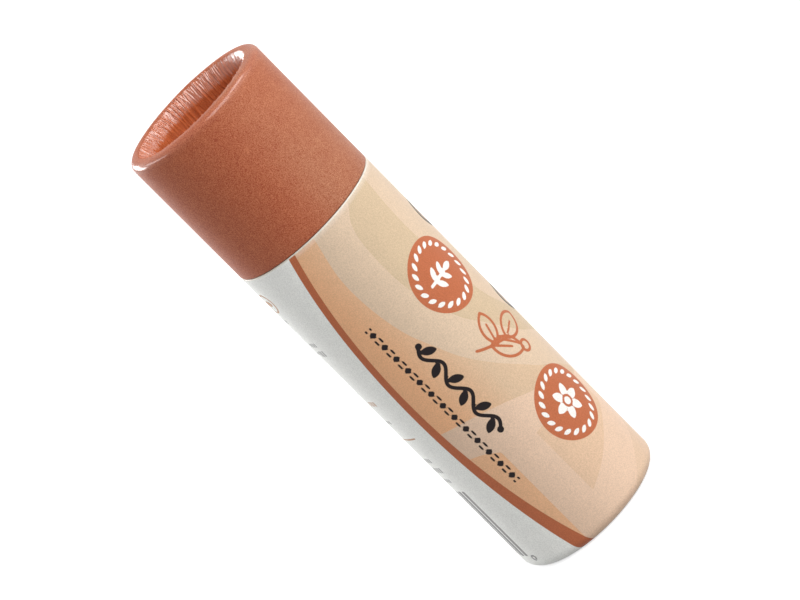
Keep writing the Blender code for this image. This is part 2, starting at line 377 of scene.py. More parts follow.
# %% Turn the cap's wrap
CAP_COLUMNS = 1400
BOLD_FOLDS = {"count": 170, "tallest": 0.21 * MM, "seed": 4, "widen": 1.15}
FINE_FOLDS = {"count": 380, "tallest": 0.13 * MM, "seed": 5, "widen": 0.85, "slant": 0.45}
FOLD_START = 0.2 * MM
PRESSED_SHARE, PRESSED_FROM, PRESSED_TO = 0.35, 1.0 * MM, 2.4 * MM
SMOOTH_PLACE, SMOOTH_WIDTH = math.radians(104), math.radians(24)
SMOOTH_SHARE, SMOOTH_FROM, SMOOTH_TO = 0.9, 0.35 * MM, 1.0 * MM
SHOULDER = 0.8 * MM
RIM_REACH = 3.0 * MM
RIM_TILT = 0.12 * MM
RIM_WAVE = 0.02 * MM
CAP_SIDE_WAVE = 0.035 * MM
STILL_SHARE = 0.4


def wrap_grid(outside, inside):
    """One grid for a sheet: the rows of its outside, then those of its inside, which are the same all round."""
    return np.vstack([outside, all_round(inside, outside.shape[1])])


def turn_wrap(name, outside, inside, angle, folds, on_side, wave, lift=0.0):
    """Turn a sheet. Its outside is pushed straight out by the folds, and on its side it also has waves and the lap.

    A lift raises points, and none may reach below the floor.
    """
    push = outward(outside)
    radius = outside[:, :1] + push[:, :1] * folds + on_side * (lap(angle)[None, :] + wave)
    height = np.maximum(outside[:, 1:] + push[:, 1:] * folds + lift, 0.0)
    return turn_surface(name, wrap_grid(radius, inside[:, :1]), wrap_grid(height, inside[:, 1:]), angle)


angle = directions(CAP_COLUMNS)
travelled = along(cap_outside)
crest = travelled[np.argmax(cap_outside[:, 1])]
depth = np.clip(crest - FOLD_START - travelled, 0.0, None)
bold = gathers(angle, depth, RIM_HOLE, reach=RECESS_DEPTH, **BOLD_FOLDS)
fine = gathers(angle, depth, RIM_HOLE, reach=RECESS_DEPTH, **FINE_FOLDS)
pressed = 1.0 - PRESSED_SHARE * smooth(depth, PRESSED_FROM, PRESSED_TO)
stretched = np.exp(-((turned_apart(angle, SMOOTH_PLACE) / SMOOTH_WIDTH) ** 2))
shallow = 1.0 - smooth(depth, SMOOTH_FROM, SMOOTH_TO)
folds = np.maximum(bold, fine) * pressed[:, None] * (1.0 - SMOOTH_SHARE * shallow[:, None] * stretched[None, :])

on_side = smooth(cap_outside[:, 0], OUTSIDE - SHOULDER, OUTSIDE)[:, None]
near_rim = smooth(cap_outside[:, 1], CAP_TOP - RIM_REACH, CAP_TOP)[:, None]
wave = ripple(angle, cap_outside[:, 1], (3, 5, 8, 13), CAP_SIDE_WAVE, seed=7)
wave = wave * (STILL_SHARE + (1.0 - STILL_SHARE) * near_rim)
rim_wave = near_rim * (1.0 - on_side) * ripple(angle, depth, (2, 7, 11), RIM_WAVE, seed=9)
rim_wave = rim_wave + near_rim * RIM_TILT * np.sin(angle)
cap_wrap = turn_wrap("cap_wrap_paper", cap_outside, cap_inside, angle, folds, on_side, wave, rim_wave)
print(f"Tallest fold {folds.max() / MM:.2f} mm")

# %% [markdown]
# Four numbers are stored for the material: how far each point is from the rim's crest, how much its paper is
# gathered, how deep it lies between two folds, which sets the painted shade there, and how much painted sheen it
# gets, which is most at the lower right. The sheet's inside, which nobody sees, gets one number for each. A distance
# there is simply very far.

# %% Mark the cap's wrap
FAR = 9.0
GATHERED_BY = 0.5 * MM
CREASE_SHADE_BELOW = 0.45 * BOLD_FOLDS["tallest"]
# Painted sheen: where and how strongly the colour is paled, towards the lamp-lit right side and the mouth.
SHEEN_FROM, SHEEN_FULL = math.radians(-8), math.radians(32)
SHEEN_LEAVES, SHEEN_GONE = math.radians(75), math.radians(150)
SHEEN_AT_MOUTH, SHEEN_AT_TOP = 1.1, 0.5


def paint_wrap(piece, name, outside, inside_rows, inside=0.0):
    """Store a grid of numbers for the outside of a sheet, and one number for its inside."""
    paint(piece, name, wrap_grid(outside, np.full((inside_rows, 1), inside)))


from_rim = all_round(np.abs(travelled - crest) / MM, CAP_COLUMNS)
gathered = all_round(smooth(depth, 0.0, GATHERED_BY), CAP_COLUMNS)
# Painted shade: the low ground between folds is marked so that the material darkens it, standing in for the shade in
# the creases.
crease_shade = gathered * (1.0 - np.clip(folds / CREASE_SHADE_BELOW, 0.0, 1.0))
# Painted sheen: a share that grows towards the lit right side and towards the mouth, where the material pales the
# colour.
to_right = smooth(angle, SHEEN_FROM, SHEEN_FULL) * (1.0 - smooth(angle, SHEEN_LEAVES, SHEEN_GONE))
to_mouth = SHEEN_AT_MOUTH + (SHEEN_AT_TOP - SHEEN_AT_MOUTH) * smooth(cap_outside[:, 1:], CAP_MOUTH, CAP_TOP)
paint_wrap(cap_wrap, "from_rim", from_rim, len(cap_inside), FAR)
paint_wrap(cap_wrap, "gathered", gathered, len(cap_inside))
paint_wrap(cap_wrap, "crease_shade", crease_shade, len(cap_inside))
paint_wrap(cap_wrap, "painted_sheen", to_mouth * to_right[None, :], len(cap_inside))
print(f"Most faded {(to_mouth * to_right[None, :]).max():.2f}, mean crease {crease_shade.mean():.2f}")

# %% [markdown]
# ## Drawing with distances
#
# The label is printed. A print could be an image, but this file reads none, and a shape drawn by formula stays crisp
# at any size. So each ink is a field of numbers: how far every point of the paper is from the nearest printed shape,
# in millimetres, and less than zero inside it. Joining two shapes is taking the smaller of two distances. The mesh
# keeps the distances, and the material turns "less than zero" into ink with a hair of softness, as ink has on paper.
#
# Each helper takes x and y, the places of all the points of the mesh at once, measured from the shape's own centre.

# %% Shapes as distances
def turned(x, y, degrees):
    """The same points seen by a shape that is turned anticlockwise: a plane rotation the other way."""
    turn = math.radians(degrees)
    return x * math.cos(turn) + y * math.sin(turn), y * math.cos(turn) - x * math.sin(turn)


def disc(x, y, radius):
    """Distance to a filled circle: distance from its centre less the radius."""
    return np.hypot(x, y) - radius


def stroke(distance, width):
    """The outline of a shape, drawn with a pen of this width: how far the distance is from zero, less half a pen."""
    return np.abs(distance) - width / 2


def segment(x, y, start, stop, width):
    """A straight pen line with round ends: distance to the nearest point between start and stop, less half a pen."""
    run = np.subtract(stop, start)
    share = np.clip(((x - start[0]) * run[0] + (y - start[1]) * run[1]) / (run @ run), 0.0, 1.0)
    return np.hypot(x - start[0] - share * run[0], y - start[1] - share * run[1]) - width / 2


def pen_line(x, y, points, width):
    """A pen line through many points: the nearest of its segments."""
    distance = np.full(x.shape, FAR)
    for start, stop in zip(points[:-1], points[1:]):
        distance = np.minimum(distance, segment(x, y, start, stop, width))
    return distance


def leaf(x, y, length, width):
    """A pointed leaf from (0, 0) up the y axis: where two equal circles overlap, each through both tips."""
    half, side = length / 2, width / 2
    radius = (half * half + side * side) / (2 * side)
    shift = radius - side
    across, up = np.abs(x), np.abs(y - half)
    tip = np.hypot(across, up - half)
    return np.where((up - half) * shift > across * half, tip, np.hypot(across + shift, up) - radius)


def around(x, y, count):
    """The same points folded into one of count equal sectors round the centre, with y pointing outwards."""
    pitch = math.tau / count
    turn = np.arctan2(x, y)
    turn = (turn + pitch / 2) % pitch - pitch / 2
    distance = np.hypot(x, y)
    return distance * np.sin(turn), distance * np.cos(turn)


def curve(points, steps=14):
    """Points on a smooth line through the given ones: a cubic blend of each four neighbours."""
    points = np.asarray(points, float)
    ends = np.vstack([2 * points[0] - points[1], points, 2 * points[-1] - points[-2]])
    share = np.linspace(0.0, 1.0, steps, endpoint=False)[:, None]
    parts = []
    for a, b, c, d in zip(ends[:-3], ends[1:-2], ends[2:-1], ends[3:]):
        bends = 2 * a - 5 * b + 4 * c - d
        twist = 3 * b - a - 3 * c + d
        parts.append(0.5 * (2 * b + (c - a) * share + bends * share**2 + twist * share**3))
    return np.vstack(parts + [points[-1:]])


# %% [markdown]
# ## The body's wrap
#
# The printed paper runs from the top edge, which hides under the cap, down the side, round the rolled foot and up
# inside the finger recess. It is turned like the cap's wrap. Its columns stand closer on the front, from 100 degrees
# on the left to 112 on the right, where most of the print is, and its rows are a quarter of a millimetre apart, so
# that the printed distances have enough points to live on.

# %% Outline of the body's wrap
TOP_ROUND = 0.17 * MM
FOOT_OUTER_ROUND = 1.5 * MM
FOOT_INNER_ROUND = 1.0 * MM


def body_outline(inset, edge_rows, side_rows, round_rows, skirt_rows):
    """The body's outside moved in by an inset: over the top edge, down the side, round the foot and up the skirt."""
    hole = FOOT_HOLE + inset
    side = OUTSIDE - inset
    top_round = max(TOP_ROUND, inset + SHARPEST)
    top = (OUTSIDE - top_round, BODY_TOP - top_round)
    outer = (OUTSIDE - FOOT_OUTER_ROUND, FOOT_OUTER_ROUND)
    inner = (FOOT_HOLE + FOOT_INNER_ROUND, FOOT_INNER_ROUND)
    parts = [
        bend(top, top_round - inset, 90, 0, edge_rows),
        line((side, top[1]), (side, outer[1]), side_rows),
        bend(outer, FOOT_OUTER_ROUND - inset, 0, -90, round_rows),
        bend(inner, FOOT_INNER_ROUND - inset, -90, -180, round_rows),
        line((hole, inner[1]), (hole, SKIRT_TOP), skirt_rows),
        [(hole, SKIRT_TOP)],
    ]
    return np.vstack(parts)


FRONT_LEFT, FRONT_RIGHT = -100.0, 112.0

body_outside = body_outline(0.0, 5, 194, 11, 12)
body_inside = body_outline(PAPER, 2, 3, 3, 2)[::-1]
body_angle = np.radians(np.concatenate([
    np.linspace(-180.0, FRONT_LEFT, 76, endpoint=False),
    np.linspace(FRONT_LEFT, FRONT_RIGHT, 260, endpoint=False),
    np.linspace(FRONT_RIGHT, 180.0, 64, endpoint=False),
]))
print(f"The body's wrap: {len(body_outside) + len(body_inside)} rows by {len(body_angle)} columns")

# %% [markdown]
# The skirt inside the foot is gathered like the recess of the cap. The label is glued flat elsewhere, so only a trace
# of waviness is added, and the lap at the back. No fold may reach below the floor. The distance from the cut edge is
# stored for the material, and a number below zero for the sheet's bare inside.

# %% Turn the body's wrap
SKIRT_FOLDS = {"count": 96, "tallest": 0.19 * MM, "seed": 12, "widen": 1.7}
SKIRT_START = 0.7 * MM
BODY_SIDE_WAVE = 0.018 * MM
CORE = -1.0

travelled = along(body_outside)
lowest = travelled[np.argmin(body_outside[:, 1])]
depth = np.clip(travelled - lowest - SKIRT_START, 0.0, None)
folds = gathers(body_angle, depth, FOOT_HOLE, reach=SKIRT_TOP, **SKIRT_FOLDS)
on_side = smooth(body_outside[:, 0], OUTSIDE - SHOULDER, OUTSIDE)[:, None]
on_side = on_side * (travelled < lowest)[:, None]
wave = ripple(body_angle, body_outside[:, 1], (2, 5, 9), BODY_SIDE_WAVE, seed=15)
body_wrap = turn_wrap("body_wrap_paper", body_outside, body_inside, body_angle, folds, on_side, wave)
from_cut = all_round(np.minimum(travelled, travelled[-1] - travelled) / MM, len(body_angle))
paint_wrap(body_wrap, "from_cut", from_cut, len(body_inside), CORE)
print(f"Tallest fold {folds.max() / MM:.2f} mm")

# %% [markdown]
# ## Places on the label
#
# The print is laid out flat before it is wrapped. Across runs round the stick, in millimetres from the front, and up
# runs along it. On the side, up is simply the height. Over the foot the paper goes on, so up goes on downwards with
# the distance travelled, and the print bends round the roll as it does on real paper.

# %% Lay the label out flat
GIRTH = math.tau * OUTSIDE / MM

side_row = np.argmin(np.abs(body_outside[:, 1] - 0.5 * BODY_TOP))
up = all_round((body_outside[side_row, 1] - (travelled - travelled[side_row])) / MM, len(body_angle))
across = np.repeat(body_angle[None, :] * OUTSIDE / MM, len(body_outside), axis=0)


def from_place(place):
    """All points of the label measured from one place, going the short way round the stick."""
    x = (across - place[0] + GIRTH / 2) % GIRTH - GIRTH / 2
    return x, up - place[1]


print(f"Label {GIRTH:.1f} mm round, {up.max() - up.min():.1f} mm along")

# %% [markdown]
# ## The ground of the label
#
# A broad terracotta crescent divides the label into a white panel at the left and back, and a peach front. A crescent
# is what two circles leave between them, and it is mirrored on the far side of the front. The peach front holds soft
# waves of nearly the same colour, one over another. Most of their edges come down the label and sweep away sideways,
# faster and faster. A formula could do that, but each edge has its own swing, so each is a smooth line through a few
# points.

# %% Crescents and waves
FRONT_MIDDLE = 8.0
FRONT_BOW = {"reach": 16.4, "middle": 25.7, "radius": 87.4}
STRIPE_BOW = {"reach": 15.25, "middle": 27.2, "radius": 81.0}


def bow(x, y, reach, middle, radius):
    """Distance to a big circle whose left edge passes (-reach, middle)."""
    return np.hypot(x + reach - radius, y - middle) - radius


def past_line(value, forward, points):
    """Distance past a smooth line, less than zero before it: the gap to the line, made shorter by the line's slope.

    The points are pairs (forward, value) with growing forward values, and the line runs on straight from its ends.
    """
    path = curve(points)
    slope = np.gradient(path[:, 1], path[:, 0])
    gap = value - np.interp(forward, path[:, 0], path[:, 1])
    return gap / np.hypot(1.0, np.interp(forward, path[:, 0], slope))


front_x, front_y = from_place((FRONT_MIDDLE, 0.0))
left_x = -np.abs(front_x)
front = bow(left_x, front_y, **FRONT_BOW)
stripe = np.maximum(front, -bow(left_x, front_y, **STRIPE_BOW))

PALE_EDGE = [(15.0, 14.6), (19.0, 9.0), (20.9, 7.0), (24.2, 4.1), (27.8, 1.7), (31.5, 0.1), (35.1, -1.2),
             (40.0, -2.0), (44.9, -2.0), (50.2, -0.9)]
OLIVE_EDGE = [(19.5, 17.5), (21.3, 14.6), (23.2, 11.3), (25.2, 9.3), (28.2, 7.0), (31.1, 5.0), (35.0, 3.6),
              (39.3, 2.7), (44.9, 2.7), (48.2, 3.4), (50.2, 5.0)]
RIGHT_EDGE = [(22.5, 17.5), (25.2, 14.6), (27.5, 12.3), (31.5, 10.3), (41.0, 9.0), (45.9, 9.05), (50.2, 9.6)]
LOW_EDGE = [(-9.0, 22.4), (-7.0, 22.2), (-2.9, 21.6), (1.1, 20.3), (4.7, 18.6), (8.3, 17.0), (12.0, 14.5)]
CORNER_EDGE = [(-9.0, 17.9), (-6.6, 17.6), (-4.8, 17.1), (-3.4, 16.3), (-2.0, 15.3)]
FOLD_EDGE = [(-2.0, 3.0), (1.6, 4.8), (5.4, 6.5), (9.6, 8.8), (12.3, 10.1), (18.0, 13.0)]
FOOT_EDGE = [(2.0, -2.0), (6.35, 1.0), (9.6, 3.2), (12.9, 5.1), (14.6, 6.5), (20.0, 10.0)]
CORNER_RIGHT = -3.0
FOLD_LEFT, FOLD_RIGHT, FOLD_TOP = 1.6, 12.7, 14.8

x, y = from_place((0.0, 0.0))
waves = {
    "wave_pale": -past_line(x, y, PALE_EDGE),
    "wave_olive": np.maximum(-past_line(x, y, OLIVE_EDGE), past_line(x, y, RIGHT_EDGE)),
    "wave_low": past_line(y, x, LOW_EDGE),
    "wave_corner": np.maximum(past_line(y, x, CORNER_EDGE), x - CORNER_RIGHT),
    "wave_fold": np.maximum.reduce([FOLD_LEFT - x, x - FOLD_RIGHT, y - FOLD_TOP, -past_line(y, x, FOLD_EDGE)]),
    "wave_foot": past_line(y, x, FOOT_EDGE),
}
print("Printed grounds: front, crescents and", len(waves), "waves")

# %% [markdown]
# ## The inks
#
# Six inks are printed on the ground: terracotta, white, a bold dark brown, a softer olive brown, tan and grey. They
# draw plain ornaments: two discs with a sprig and a blossom, a line drawing of leaves between them, a running vine, a
# row of dashes and lozenges, rings, tallies and bars. Most of them read along the stick, so their upward direction is
# across the label, and each is turned a quarter. A motif is a function of x and y, built from the shapes above.

# %% Terracotta and white inks
DISC_RADIUS = 4.85
DISC_PLACES = [(7.6, 36.0), (7.6, 14.1)]
DRAWING_PLACE = (7.6, 24.95)
DRAWING_PEN = 0.37
THIN_PEN = 0.85 * DRAWING_PEN
LARGE_LEAVES = ((0.1, 0.2, 14.0, 4.2, 2.7), (-0.6, -1.5, 72.0, 4.0, 2.2), (-0.9, -2.3, -46.0, 4.9, 2.5))


def sideways(place):
    """The points of the label as seen by a motif that reads along the stick, with y across the label."""
    x, y = from_place(place)
    return -y, x


def nearest(*distances):
    """Shapes joined into one: the smallest of their distances."""
    return np.minimum.reduce(distances)


def leaf_pair(x, y, place, degrees, length, width):
    """Two leaves that grow from one point of a stem, to the left and to the right."""
    right = leaf(*turned(x - place[0], y - place[1], -degrees), length, width)
    left = leaf(*turned(x - place[0], y - place[1], degrees), length, width)
    return nearest(right, left)


def sprig(x, y):
    """A stem with two pairs of leaves and one at the tip."""
    stem = segment(x, y, (0.0, -2.4), (0.0, 1.0), 0.4)
    low = leaf_pair(x, y, (0.0, -1.6), degrees=56.0, length=1.9, width=0.78)
    high = leaf_pair(x, y, (0.0, -0.3), degrees=50.0, length=1.75, width=0.74)
    return nearest(stem, low, high, leaf(x, y - 0.5, 1.9, 0.84))


def blossom(x, y):
    """Six petals round a filled middle, with a ring cut out between them by taking the larger distance."""
    petal_x, petal_y = around(x, y, 6)
    petals = leaf(petal_x, petal_y - 0.35, 1.95, 1.12)
    return nearest(np.maximum(petals, 0.82 - np.hypot(x, y)), disc(x, y, 0.5))


def disc_border(x, y):
    """A wreath of small leaves, each leaning along the ring."""
    leaf_x, leaf_y = around(x, y, 20)
    return leaf(*turned(leaf_x + 0.42, leaf_y - 3.5, -52.0), 1.22, 0.56)


def drawing(x, y):
    """A stem with three large leaves, and a berry on its own stalk. The midribs and the stalk have a thinner pen."""
    parts = [pen_line(x, y, curve([(-1.9, -4.2), (-1.2, -3.0), (-0.5, -1.4), (0.1, 0.3)], 6), DRAWING_PEN)]
    for left, foot, degrees, length, width in LARGE_LEAVES:
        leaf_x, leaf_y = turned(x - left, y - foot, degrees)
        parts.append(stroke(leaf(leaf_x, leaf_y, length, width), DRAWING_PEN))
        parts.append(segment(leaf_x, leaf_y, (0.0, 0.6), (0.0, 0.62 * length), THIN_PEN))
    parts.append(stroke(disc(x - 2.7, y - 1.6, 0.72), DRAWING_PEN))
    parts.append(pen_line(x, y, curve([(-0.15, -0.5), (1.0, 0.4), (2.15, 1.2)], 6), THIN_PEN))
    return nearest(*parts)


discs = nearest(*[disc(*sideways(place), DISC_RADIUS) for place in DISC_PLACES])
terracotta_ink = nearest(discs, stripe, drawing(*sideways(DRAWING_PLACE)))
white_ink = nearest(
    *[disc_border(*sideways(place)) for place in DISC_PLACES],
    sprig(*sideways(DISC_PLACES[0])),
    blossom(*sideways(DISC_PLACES[1])),
)

# %% Dark, tan and grey inks
VINE_PLACE = (-1.1, 25.3)
VINE_LENGTH, VINE_SWING, VINE_TURNS = 14.2, 0.72, 6
ROW_PLACE = (-4.05, 25.0)
ROW_LENGTH, ROW_PITCH, LOZENGES = 26.0, 2.0, 13
FRIEZE_PLACE = (16.0, 34.2)
FRIEZE_PITCH, FRIEZE_RINGS = 14.4, 2
TALLY_PITCH, TALLY_STROKE = 0.5, 0.28


def repeated(x, pitch, count):
    """The same points folded onto one of count repeats, with the number of the repeat beside it."""
    number = np.clip(np.round(x / pitch + (count - 1) / 2), 0, count - 1)
    return x - (number - (count - 1) / 2) * pitch, number


def vine(x, y):
    """A running stem like a sine, with a filled leaf in every hollow and a berry at both ends."""
    pitch = VINE_LENGTH / VINE_TURNS
    reach = np.linspace(-VINE_LENGTH / 2, VINE_LENGTH / 2, 12 * VINE_TURNS + 1)
    stem = np.stack([reach, VINE_SWING * np.sin(math.pi * reach / pitch)], axis=1)
    leaf_x, number = repeated(x, pitch, VINE_TURNS)
    leaf_y = y * np.where(number % 2 == 0, 1.0, -1.0)
    leaves = leaf(*turned(leaf_x + 0.5, leaf_y + 0.42, -30.0), 2.1, 1.05)
    berries = nearest(disc(x - VINE_LENGTH / 2, y, 0.42), disc(x + VINE_LENGTH / 2, y, 0.42))
    return nearest(pen_line(x, y, stem, 0.46), leaves, berries)


def dash_row(x, y):
    """Lozenges with a pair of dashes between each two of them."""
    part_x, _ = repeated(x, ROW_PITCH, LOZENGES)
    lozenge = (np.abs(part_x) * 1.25 + np.abs(y)) * 0.62 - 0.36
    dash_x = np.abs(part_x) - ROW_PITCH / 2
    dashes = segment(dash_x, np.abs(y), (-0.28, 0.33), (0.28, 0.33), 0.27)
    return nearest(lozenge, np.maximum(dashes, np.abs(x) - ROW_LENGTH / 2))


def frieze(x, y):
    """Bold rings, each with a leaf in it."""
    part_x, _ = repeated(x, FRIEZE_PITCH, FRIEZE_RINGS)
    return nearest(stroke(disc(part_x, y, 2.1), 0.75), leaf(part_x, y + 1.2, 2.4, 1.3))


def tally(across_place, up_place, count, tall):
    """A short row of upright strokes."""
    x, y = from_place((across_place, up_place))
    stroke_x, _ = repeated(x, TALLY_PITCH, count)
    return np.maximum(np.abs(stroke_x) - TALLY_STROKE / 2, np.abs(y) - tall / 2)


def bar(place, width, tall):
    """A plain bar with its long side up the stick."""
    x, y = from_place(place)
    return np.maximum(np.abs(x) - width / 2, np.abs(y) - tall / 2)


LEAF_RING_PLACE = (-14.1, 46.6)
SMALL_RING_PLACE = (-11.25, 2.2)
RULE_PLACE = (0.0, 23.05)
BARS_UP, BARS_TALL = 8.3, 11.4
BARS = ((-12.45, 0.66), (-13.5, 0.8), (-14.2, 0.28), (-14.85, 0.5), (-15.6, 0.3), (-16.5, 0.7), (-17.3, 0.3))
TALLIES = (
    (-13.3, 39.5, 4, 0.7), (-12.9, 38.0, 3, 1.0), (-14.2, 38.1, 2, 0.6), (-13.9, 26.1, 3, 0.6), (-13.7, 19.4, 4, 0.8),
    (-13.6, 17.7, 5, 0.9), (-13.8, 15.9, 4, 0.7), (-14.6, 43.5, 3, 0.6),
)

ring_x, ring_y = sideways(LEAF_RING_PLACE)
tan_ink = nearest(
    stroke(disc(ring_x, ring_y, 1.45), 0.3),
    leaf(ring_x, ring_y + 1.0, 2.0, 1.0),
    tally(-13.2, 29.3, 4, 0.8),
    segment(*from_place(RULE_PLACE), (-18.0, -0.1), (-11.3, 0.1), 0.26),
)
grey_ink = nearest(
    *[bar((left, BARS_UP), width, BARS_TALL) for left, width in BARS],
    *[tally(*settings) for settings in TALLIES],
    stroke(disc(*from_place(SMALL_RING_PLACE), 0.36), 0.26),
)
dark_ink = nearest(vine(*sideways(VINE_PLACE)), dash_row(*sideways(ROW_PLACE)))
olive_ink = frieze(*sideways(FRIEZE_PLACE))

prints = {"front": front, "terracotta": terracotta_ink, "white": white_ink, "dark": dark_ink}
prints.update({"olive": olive_ink, "tan": tan_ink, "grey": grey_ink, "across": across}, **waves)
for name, distance in prints.items():
    paint_wrap(body_wrap, name, np.clip(distance, -FAR, FAR), len(body_inside), FAR)
print("Inks and grounds:", ", ".join(prints))

# %% [markdown]
# ## Board tubes
#
# Under the paper are four tubes of kraft board: the cap's, the body's, the neck that the cap slides over, and the
# plunger's collar. Such tubes are wound from a strip, so a fine seam climbs round each of them like the stripe on a
# barber's pole. It shows on the neck when the cap is off. The seam is a shallow groove: the distance to the climbing
# line is worked out for every point of the mesh, and the groove is taken off the radius where that distance is small.
#
# The corners of the outlines are rounded a little, because cut board is never razor sharp and a rounded edge catches
# light. The board of the cap and of the body follows the paper at an inset on its outside. Its inside is the bore,
# with a narrow slit in the cap between the bore and the rolled end.

# %% Board tubes
BOARD_INSET = 0.2 * MM
SEAM_CLIMB = 41.0 * MM
SEAM_DEPTH = 0.035 * MM
SEAM_WIDTH = 0.16 * MM
GLUE_GAP = 0.05 * MM
CORNER_SHARE = 0.45


def rounded(corners, rounding, closed=True):
    """Cut each corner with a short curve: a quadratic blend from one side through the corner to the other."""
    corners = np.asarray(corners, float)
    share = np.linspace(0.0, 1.0, 5)[:, None]
    parts = []
    for number, corner in enumerate(corners):
        if not closed and number in (0, len(corners) - 1):
            parts.append(corner[None, :])
            continue
        sides = [corners[number - 1] - corner, corners[(number + 1) % len(corners)] - corner]
        before, after = [corner + side * min(CORNER_SHARE, rounding / np.hypot(*side)) for side in sides]
        parts.append(before * (1 - share) ** 2 + corner * 2 * share * (1 - share) + after * share**2)
    return np.vstack(parts)


def filled(outline, step, closed=True):
    """Put extra points on the long sides of an outline, so that no two neighbours are further apart than a step."""
    ends = np.roll(outline, -1, axis=0) if closed else outline[1:]
    parts = []
    for start, stop in zip(outline, ends):
        count = max(1, math.ceil(np.hypot(*(stop - start)) / step))
        parts.append(start + (stop - start) * np.arange(count)[:, None] / count)
    if not closed:
        parts.append(outline[-1:])
    return np.vstack(parts)


def board_tube(name, outline, columns, turn):
    """Turn a closed outline of board, with the climbing seam pressed into it and its end faces marked."""
    angle = directions(columns)
    radius, height = outline[:, :1], outline[:, 1:]
    climb = (height - SEAM_CLIMB * (angle + turn) / math.tau) % SEAM_CLIMB
    slope = math.atan2(SEAM_CLIMB, math.tau * outline[:, 0].max())
    from_seam = np.minimum(climb, SEAM_CLIMB - climb) * math.cos(slope)
    middle = (outline[:, 0].max() + outline[:, 0].min()) / 2
    facing = np.sign(radius - middle)
    groove = SEAM_DEPTH * np.exp(-((from_seam / SEAM_WIDTH) ** 2)) * facing
    piece = turn_surface(name, radius - groove, height, angle)
    steps = np.roll(outline, -1, axis=0) - np.roll(outline, 1, axis=0)
    end = np.abs(steps[:, 0]) > np.abs(steps[:, 1])
    paint(piece, "from_seam", from_seam / MM)
    paint(piece, "end_face", all_round(end, columns))
    return piece


def ring_outline(node, inner, rounding, step, lead_in=0.0):
    """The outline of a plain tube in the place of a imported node, with an outer lead-in slope at its top if asked."""
    outer, foot, top = radius_of(node), foot_of(node), top_of(node)
    slope = [(outer - lead_in, top), (outer, top - lead_in)] if lead_in else [(outer, top)]
    return filled(rounded([(inner, top), *slope, (outer, foot), (inner, foot)], rounding), step)


neck_inner = radius_of("neck_liner") + GLUE_GAP
neck_outline = ring_outline("neck_tube", neck_inner, rounding=0.09 * MM, step=0.4 * MM, lead_in=0.2 * MM)
neck_tube = board_tube("neck_board", neck_outline, columns=300, turn=0.6)
collar_inner = radius_of("push_disc") + GLUE_GAP
collar_outline = ring_outline("push_collar", collar_inner, rounding=0.12 * MM, step=0.4 * MM)
push_collar = board_tube("collar_board", collar_outline, columns=240, turn=2.0)

SLIT = 0.1 * MM
slit_top = CAP_TOP - WALL
cap_inner = [(BORE, MOUTH_EDGE + BOARD_INSET), (BORE, slit_top)]
cap_inner += [(BORE - SLIT, slit_top), (BORE - SLIT, CAP_TOP - RECESS_DEPTH)]
cap_board = cap_outline(board_recess(BOARD_INSET, 4, 8), BOARD_INSET, 8, 10, 5)
cap_board = np.vstack([cap_board, filled(np.array(cap_inner), 0.6 * MM, False)])
cap_tube = board_tube("cap_board", cap_board, columns=240, turn=1.1)

body_inner = body_outline(WALL, 2, 60, 8, 4)[::-1]
body_inner = body_inner[body_inner[:, 1] < BODY_TOP - 1.0 * MM]
body_inner = np.vstack([body_inner, [(BORE, BODY_TOP - BOARD_INSET)]])
body_board = np.vstack([body_outline(BOARD_INSET, 5, 20, 8, 6), body_inner])
body_tube = board_tube("body_board", body_board, columns=240, turn=3.0)
print(f"Board {(WALL - BOARD_INSET) / MM:.1f} mm thick, a seam that climbs {SEAM_CLIMB / MM:.0f} mm in a turn")

# %% [markdown]
# ## Discs, liner and plunger papers
#
# The cap is closed by a board disc with paper on both faces, and the plunger's disc has paper on both faces too. A
# disc is an open outline that starts and ends beside the axis. The boards are flat, but a paper that was glued wet
# dries with a low swell between its middle and its edge, about a hundredth of a millimetre high.

# %% Discs and liner
AXIS_SHARE = 0.02
SWELL = 0.012 * MM
LINER_WAVE = 0.008 * MM
LINER_SWELL = 0.01 * MM
DISC_ROUND = 0.12 * MM


def flat_disc(name, node, swell, columns=180):
    """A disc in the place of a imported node: down its rounded edge, with a low swell and faint radial pull marks."""
    edge, foot, top = radius_of(node), foot_of(node), top_of(node)
    rounding = min(DISC_ROUND, 0.4 * (top - foot))
    middle = AXIS_SHARE * edge
    corners = [(middle, top), (edge, top), (edge, foot), (middle, foot)]
    outline = filled(rounded(corners, rounding, False), 0.45 * MM, False)
    angle = directions(columns)
    out = (outline[:, :1] / edge).clip(0.0, 1.0)
    pull = ripple(angle, 4.0 * outline[:, 0], (3, 7, 12), 1.0, seed=len(node))
    rise = swell * (np.sin(math.pi * out) ** 2) * (0.7 + 0.3 * pull)
    piece = turn_surface(name, outline[:, :1], outline[:, 1:] + rise, angle, closed=False)
    steps = np.gradient(outline, axis=0)
    end = np.abs(steps[:, 1]) > np.abs(steps[:, 0])
    paint(piece, "end_face", all_round(end, columns))
    paint(piece, "from_seam", np.full((len(outline), columns), FAR))
    return piece


cap_end_paper = flat_disc("cap_end_facing", "cap_end_paper", SWELL)
cap_end_disc = flat_disc("cap_end_board", "cap_end_disc", 0.0)
cap_seal_paper = flat_disc("cap_seal_facing", "cap_seal_paper", -SWELL)
push_base_paper = flat_disc("push_base_facing", "push_base_paper", -SWELL)
push_disc = flat_disc("push_board", "push_disc", 0.0)
push_liner = flat_disc("push_liner_facing", "push_liner", LINER_SWELL)

LINER_COLUMNS = 240
LINER_PAPER = 0.12 * MM

